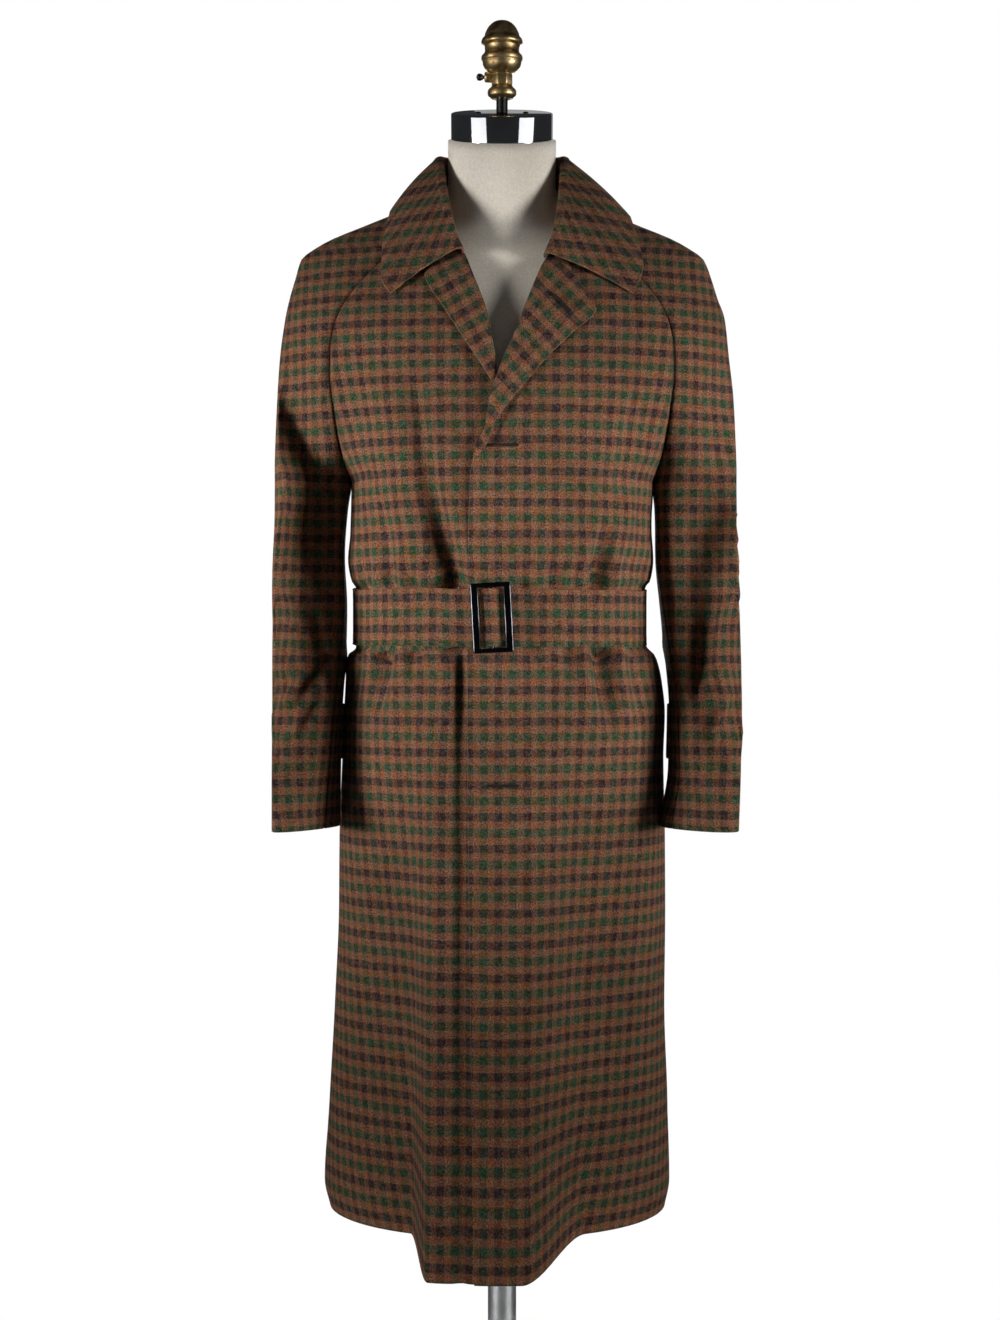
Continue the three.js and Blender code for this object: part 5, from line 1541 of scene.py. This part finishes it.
raised = reckon(tree, "ADD", woven, slubs.outputs["Fac"])
bump = put(tree, "ShaderNodeBump", {"Height": raised, "Strength": 0.3, "Distance": 0.0002})
tree.links.new(bump.outputs[0], skin.inputs["Normal"])
skin.inputs["Roughness"].default_value = 0.85
skin.inputs["Specular IOR Level"].default_value = 0.25
print("canvas thread, mm:", THREAD)

# %% Form
FORM = sections(
    "half front back round",
    [
        (790, 148, 104, 112, 2.3),
        (840, 156, 110, 120, 2.3),
        (900, 158, 114, 120, 2.3),
        (980, 154, 108, 108, 2.3),
        (1085, 144, 104, 88, 2.3),
        (1180, 148, 116, 100, 2.3),
        (1240, 152, 133, 112, 2.25),
        (1290, 168, 134, 117, 2.2),
        (1330, 189, 127, 119, 2.1),
        (1400, 194, 105, 114, 2),
        (1450, 194, 84, 103, 1.9),
        (1475, 192, 70, 94, 1.8),
        (1497.4, 184, 54, 80, 1.6),
        (1508.4, 158, 44, 72, 1.5),
        (1519.4, 131, 33, 60, 1.5),
        (1530.4, 104, 21, 46, 1.6),
        (1541, 71, 12, 30, 2),
        (1556, 44, 14, 22, 2),
    ],
)
FORM_NECK = {"half": 57.5, "front": 55, "back": 58}
NECK_FROM, NECK_TILT = 1450, 17
CAP = {"radius": 56, "height": 29, "z": 1625, "edge": 2.5}
SEAT = 0.3
slope = math.tan(math.radians(NECK_TILT))
cap_foot = CAP["z"] - (CAP["height"] / 2 + SEAT) / math.cos(math.radians(NECK_TILT))


def form_torso():
    heights = np.concatenate([np.arange(790, 1426, 12), np.arange(1426, 1560, 3), np.arange(1560, 1607, 4)])
    z = heights[:, None].astype(float)
    angle = np.linspace(0, 2 * np.pi, 144, endpoint=False)[None, :]
    c, n = np.cos(angle), np.sin(angle)
    power = 2 / FORM["round"](z)
    x = FORM["half"](z) * np.sign(c) * np.abs(c) ** power
    y = np.where(n < 0, FORM["front"](z), FORM["back"](z)) * np.sign(n) * np.abs(n) ** power
    inside = np.hypot(x / FORM_NECK["half"], y / np.where(n < 0, FORM_NECK["front"], FORM_NECK["back"]))
    push = 1 + ((1 + inside**-6.0) ** (1 / 6) - 1) * ease((z - NECK_FROM) / 40)
    x, y = x * push, y * push
    tall = z + slope * ease((z - 1530) / 70) * y
    tall[-1] = cap_foot + slope * y[-1]
    rings = np.stack([x, y, tall + 0 * x], -1)
    rows, around = rings.shape[:2]
    index = np.arange(rows * around).reshape(rows, around)
    beside = np.roll(index, -1, axis=1)
    faces = np.stack([index[:-1], beside[:-1], beside[1:], index[1:]], -1).reshape(-1, 4)
    piece = mesh_piece("form_canvas", rings.reshape(-1, 3), faces, material=canvas)
    bpy.ops.object.select_all(action="DESELECT")
    piece.select_set(True)
    bpy.context.view_layer.objects.active = piece
    bpy.ops.object.mode_set(mode="EDIT")
    bpy.ops.mesh.select_mode(type="EDGE")
    bpy.ops.mesh.select_all(action="DESELECT")
    bpy.ops.mesh.select_non_manifold()
    bpy.ops.mesh.fill_holes(sides=0)
    bpy.ops.mesh.select_all(action="SELECT")
    bpy.ops.mesh.normals_make_consistent(inside=False)
    bpy.ops.object.mode_set(mode="OBJECT")
    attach(piece, "root")
    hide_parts("form_torso")
    return piece


form_piece = form_torso()
print("form faces:", len(form_piece.data.polygons))

# %% [markdown]
# ## Metal pieces
# The neck cap, rod, finial, thumbscrew, pole and base are turned metal. On a lathe a piece is an outline
# spun round an axis, so that is how each is drawn: one vertex is extruded from point to point along the
# outline, and the outline is spun.


# %% Finishes of the metals
def metal(name, colour, dark, roughness, spots, spot_range=(0.35, 0.7), bump_depth=0.0):
    """A metal whose colour and gloss wander a little between two shades."""
    finish = bpy.data.materials.new(name)
    finish.use_nodes = True
    tree = finish.node_tree
    skin = tree.nodes["Principled BSDF"]
    place = put(tree, "ShaderNodeTexCoord")
    cloudy = noise(tree, place.outputs["Object"], spots, 5.0).outputs["Fac"]
    share = ranged(tree, cloudy, *spot_range, 0.0, 1.0)
    tree.links.new(blend(tree, share, linear(colour), linear(dark)), skin.inputs["Base Color"])
    gloss = ranged(tree, cloudy, 0.3, 0.7, roughness * 0.8, roughness * 1.3)
    tree.links.new(gloss, skin.inputs["Roughness"])
    if bump_depth:
        dents = put(tree, "ShaderNodeBump", {"Height": cloudy, "Strength": 0.5, "Distance": bump_depth})
        tree.links.new(dents.outputs[0], skin.inputs["Normal"])
    skin.inputs["Metallic"].default_value = 1.0
    return finish


chrome = metal("chrome_polished", "#b9babd", "#a4a5a9", 0.05, 30.0)
brass = metal("brass_antique_turned", "#c4ac7c", "#6f5738", 0.38, 90.0, (0.4, 0.64), 0.0003)
black_nickel = metal("black_nickel_polished", "#4a4a4e", "#333337", 0.12, 60.0)
dark_steel = metal("steel_oil_blackened", "#4b4948", "#2c2a2a", 0.3, 80.0)
satin_steel = metal("steel_satin", "#c9cacc", "#b4b5b8", 0.35, 40.0)
print("metals: 5")


# %% Hand tools
def take(piece):
    bpy.ops.object.select_all(action="DESELECT")
    piece.select_set(True)
    bpy.context.view_layer.objects.active = piece


def settle(piece, node, material, smooth=40):
    """Puts the place into the mesh, smooths it between its sharp edges, and lets it stand for its node."""
    take(piece)
    bpy.ops.object.transform_apply(location=True, rotation=True, scale=True)
    bpy.ops.object.shade_smooth_by_angle(angle=math.radians(smooth))
    piece.data.materials.clear()
    piece.data.materials.append(material)
    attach(piece, "root")
    if node:
        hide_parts(node)
    print(f"{piece.name}: {len(piece.data.polygons)} faces")
    return piece


def outline(*curves, parts=5):
    """Smooth curves joined at corners."""
    points = []
    for curve in curves:
        fine = through(curve)(np.linspace(0, len(curve) - 1, (len(curve) - 1) * parts + 1))
        points += [tuple(p) for p in (fine if len(curve) > 2 else np.array(curve))]
    return [p for i, p in enumerate(points) if i == 0 or math.dist(p, points[i - 1]) > 1e-6]


def turned(name, profile, steps=72):
    """A lathe: the outline, as radius and height, is drawn from its first point and spun."""
    bpy.ops.object.select_all(action="DESELECT")
    bpy.ops.mesh.primitive_plane_add(size=MM)
    piece = bpy.context.object
    piece.name = name
    bpy.ops.object.mode_set(mode="EDIT")
    bpy.ops.mesh.select_mode(type="VERT")
    bpy.ops.mesh.select_all(action="SELECT")
    bpy.ops.mesh.merge(type="CENTER")
    bpy.ops.transform.translate(value=(profile[0][0] * MM, 0, profile[0][1] * MM))
    for (r0, z0), (r1, z1) in zip(profile, profile[1:]):
        move = ((r1 - r0) * MM, 0, (z1 - z0) * MM)
        bpy.ops.mesh.extrude_region_move(TRANSFORM_OT_translate={"value": move})
    bpy.ops.mesh.select_all(action="SELECT")
    bpy.ops.mesh.spin(steps=steps, angle=2 * math.pi, center=(0, 0, 0), axis=(0, 0, 1))
    bpy.ops.mesh.select_all(action="SELECT")
    bpy.ops.mesh.remove_doubles(threshold=0.02 * MM)
    bpy.ops.mesh.normals_make_consistent(inside=False)
    bpy.ops.object.mode_set(mode="OBJECT")
    return piece


def bar_outline(bar):
    """The outline of a plain round bar."""
    radius, foot, top = bar["radius"], bar["foot"], bar["top"]
    return outline([(0, foot), (radius, foot)], [(radius, foot), (radius, top)], [(radius, top), (0, top)])


def joined(*pieces):
    take(pieces[0])
    for piece in pieces:
        piece.select_set(True)
    bpy.ops.object.join()
    return bpy.context.object


# %% Neck cap
half, rim = CAP["height"] / 2, CAP["radius"]
cap = turned(
    "neck_cap_chrome",
    outline(
        [(0, -half), (rim - 0.8, -half)],
        [(rim - 0.8, -half), (rim, 0.8 - half)],
        [(rim, 0.8 - half), (rim, half - 2)],
        [(rim, half - 2), (rim - 0.5, half - 0.6), (rim - 1.8, half)],
        [(rim - 1.8, half), (0, half)],
    ),
    144,
)
CAP_SCREW = {"x": 26, "radius": 3.2, "flat": 0.45}
screws = []
lean = math.radians(NECK_TILT)
cap.location = (0, 0, CAP["z"] * MM)
cap.rotation_euler = (lean, 0, 0)
for x in (-CAP_SCREW["x"], CAP_SCREW["x"]):
    place = (x * MM, -half * math.sin(lean) * MM, (CAP["z"] + half * math.cos(lean)) * MM)
    bpy.ops.object.select_all(action="DESELECT")
    bpy.ops.mesh.primitive_uv_sphere_add(segments=24, ring_count=12, radius=CAP_SCREW["radius"] * MM)
    screw = bpy.context.object
    bpy.ops.object.mode_set(mode="EDIT")
    bpy.ops.mesh.select_all(action="SELECT")
    bpy.ops.transform.resize(value=(1, 1, CAP_SCREW["flat"]))
    bpy.ops.object.mode_set(mode="OBJECT")
    screw.rotation_euler = (lean, 0, 0)
    screw.location = place
    screws.append(screw)
heads = joined(*screws)
heads.name = "neck_cap_screws"
settle(cap, "neck_cap", chrome)
settle(heads, None, dark_steel)

# %% Rod and finial
cap_top = CAP["z"] + (half + SEAT) / math.cos(math.radians(NECK_TILT))
ROD = {"radius": 6.3, "foot": cap_top - 1.6, "top": 1655.7}
rod = turned("finial_rod_steel", bar_outline(ROD))
settle(rod, "finial_rod", dark_steel)

THUMB_LEVEL = 1679  # the thumbscrew's axis
finial = turned(
    "finial_brass",
    outline(
        [(0, 1656), (12.5, 1656)],
        [(12.5, 1656), (15, 1658), (15.8, 1661), (15.4, 1664.5), (13, 1667)],
        [(13, 1667), (11.2, 1669)],
        [(11.2, 1669), (10.6, 1675), (10.8, 1682)],
        [(10.8, 1682), (14.5, 1684), (18.6, 1688), (20.8, 1692), (21.4, 1696)],
        [(21.4, 1696), (22.6, 1698), (22.6, 1701.5), (21.2, 1703.5)],
        [(21.2, 1703.5), (19.4, 1705.5), (18.8, 1709), (19.4, 1713)],
        [(19.4, 1713), (22.4, 1715.5), (22.8, 1718), (21.8, 1721)],
        [(21.8, 1721), (19.6, 1723.5), (18.2, 1728), (14.6, 1734.5), (8.6, 1739.6), (0, 1742)],
    ),
    96,
)
bpy.ops.object.select_all(action="DESELECT")
bpy.ops.mesh.primitive_cylinder_add(vertices=8, radius=12.3 * MM, depth=12 * MM, location=(0, 0, 1675.5 * MM))
nut = bpy.context.object
bpy.ops.object.mode_set(mode="EDIT")
bpy.ops.mesh.select_all(action="SELECT")
bpy.ops.mesh.bevel(offset=0.7 * MM, segments=2, affect="EDGES")
bpy.ops.object.mode_set(mode="OBJECT")
nut.rotation_euler = (0, 0, math.radians(22.5))
boss = turned(
    "boss",
    outline(
        [(0, 8), (6, 8)],
        [(6, 8), (6.2, 16), (5.4, 18.6), (3, 19.4)],
        [(3, 19.4), (0, 19.4)],
    ),
    40,
)
boss.rotation_euler = (0, math.radians(-90), 0)
boss.location = (0, 0, THUMB_LEVEL * MM)
finial = joined(finial, nut, boss)
settle(finial, "finial", brass)

screw = turned(
    "thumbscrew_steel",
    outline(
        [(0, 11.4), (1.9, 11.4)],
        [(1.9, 11.4), (1.9, 20.6)],
        [(1.9, 20.6), (3.2, 21.6), (4.1, 24.2), (3.4, 26.9), (0, 28.4)],
    ),
    32,
)
screw.rotation_euler = (0, math.radians(-90), 0)
screw.location = (0, 0, THUMB_LEVEL * MM)
settle(screw, "thumbscrew", dark_steel)

# %% Pole and base
POLE = {"radius": 15.5, "foot": 46 + SEAT, "top": 790 - SEAT}
pole = turned("stand_pole_steel", bar_outline(POLE))
settle(pole, "stand_pole", satin_steel)
base = turned(
    "stand_base_steel",
    outline(
        [(0, 0), (198.5, 0)],
        [(198.5, 0), (200, 1.5)],
        [(200, 1.5), (200, 9)],
        [(200, 9), (199, 10.8), (196, 12)],
        [(196, 12), (120, 14.8), (60, 17), (42, 19), (34, 26), (29.6, 36), (28, 45)],
        [(28, 45), (27, 46), (0, 46)],
    ),
    144,
)
settle(base, "stand_base", satin_steel)

# %% [markdown]
# ## Buckle
# The buckle is a plain pressed frame with a bar across its middle that the belt's fixed end is folded
# round. Its face is a grid of three by three cells: the inner corners are moved to the opening's
# size, the middle cell is taken out, the rest is extruded to its depth, and the corners are rounded.

# %% Buckle
width, tall, side_rail, end_rail = BUCKLE["width"], BUCKLE["height"], BUCKLE["side"], BUCKLE["rail"]
bpy.ops.object.select_all(action="DESELECT")
bpy.ops.mesh.primitive_grid_add(x_subdivisions=3, y_subdivisions=3, size=MM, location=(0, 0, 0))
buckle = bpy.context.object
buckle.name = "buckle_nickel"
bpy.ops.object.mode_set(mode="EDIT")
bpy.ops.mesh.select_all(action="SELECT")
bpy.ops.transform.resize(value=(width, tall, 1))
net = bmesh.from_edit_mesh(buckle.data)
bpy.ops.mesh.select_mode(type="VERT")
bpy.ops.mesh.select_all(action="DESELECT")
for corner in net.verts:
    corner.select_set(abs(corner.co.x) < width / 3 * MM and abs(corner.co.y) < tall / 3 * MM)
net.select_flush_mode()
bpy.ops.transform.resize(value=(3 - 6 * side_rail / width, 3 - 6 * end_rail / tall, 1))
for place, across in (("x", width / 2 - side_rail), ("y", tall / 2 - end_rail)):
    for corner in net.verts:
        value = getattr(corner.co, place)
        limit = (width if place == "x" else tall) / 2 * MM
        if 0.01 * MM < abs(value) < limit * 0.99:
            setattr(corner.co, place, math.copysign(across * MM, value))
bpy.ops.mesh.select_mode(type="FACE")
bpy.ops.mesh.select_all(action="DESELECT")
for cell in net.faces:
    middle = cell.calc_center_median()
    cell.select_set(abs(middle.x) < MM and abs(middle.y) < MM)
bpy.ops.mesh.delete(type="FACE")
bpy.ops.mesh.select_all(action="SELECT")
bpy.ops.mesh.extrude_region_move(TRANSFORM_OT_translate={"value": (0, 0, BUCKLE["depth"] * MM)})
bpy.ops.mesh.select_all(action="SELECT")
bpy.ops.mesh.normals_make_consistent(inside=False)
bpy.ops.object.mode_set(mode="OBJECT")
rounding = buckle.modifiers.new("rounded", "BEVEL")
rounding.width = 1.1 * MM
rounding.segments = 4
rounding.limit_method = "ANGLE"
take(buckle)
bpy.ops.object.modifier_apply(modifier="rounded")
buckle.location = (0, 0, BUCKLE_LEVEL * MM)

LUG = {"width": 5, "tall": 3, "into": 0.5}  # the two lugs that carry the bar, let into the frame
bar_length = 2 * (tall / 2 - end_rail) + 4
bpy.ops.object.select_all(action="DESELECT")
bpy.ops.mesh.primitive_cylinder_add(vertices=24, radius=BAR["radius"] * MM, depth=bar_length * MM)
bar = bpy.context.object
bar.rotation_euler = (math.radians(90), 0, 0)
bar.location = (0, 0, BAR["level"] * MM)
low, high = BAR["level"] - BAR["radius"], BUCKLE_LEVEL + LUG["into"]
lugs = []
for sign in (-1, 1):
    bpy.ops.object.select_all(action="DESELECT")
    bpy.ops.mesh.primitive_cube_add(size=MM)
    lug = bpy.context.object
    lug.location = (0, sign * (tall - end_rail) / 2 * MM, (low + high) / 2 * MM)
    lug.scale = (LUG["width"], LUG["tall"], high - low)
    lugs.append(lug)
for part in (buckle, bar, *lugs):
    take(part)
    bpy.ops.object.transform_apply(location=True, rotation=True, scale=True)
buckle = joined(buckle, bar, *lugs)
turn = turn_at(BUCKLE["x"])
seat, out = waist_point(turn), waist_facing(turn)
faces_to = math.atan2(float(out[0]), -float(out[1]))
buckle.rotation_euler = (math.radians(90), -math.radians(BUCKLE["tilt"]), faces_to)
buckle.location = (float(seat[0]) * MM, float(seat[1]) * MM, BUCKLE["z"] * MM)
settle(buckle, "buckle", black_nickel, 50)
buckle_box = [[round(value / MM, 1) for value in corner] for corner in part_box("buckle")]
print("buckle at, mm:", buckle_box[0], "to", buckle_box[1])

whole_cut = sum(entry[4] for entry in sheets)
print(f"sheets: {len(sheets)}, whole cut {whole_cut:.2f} square metres")
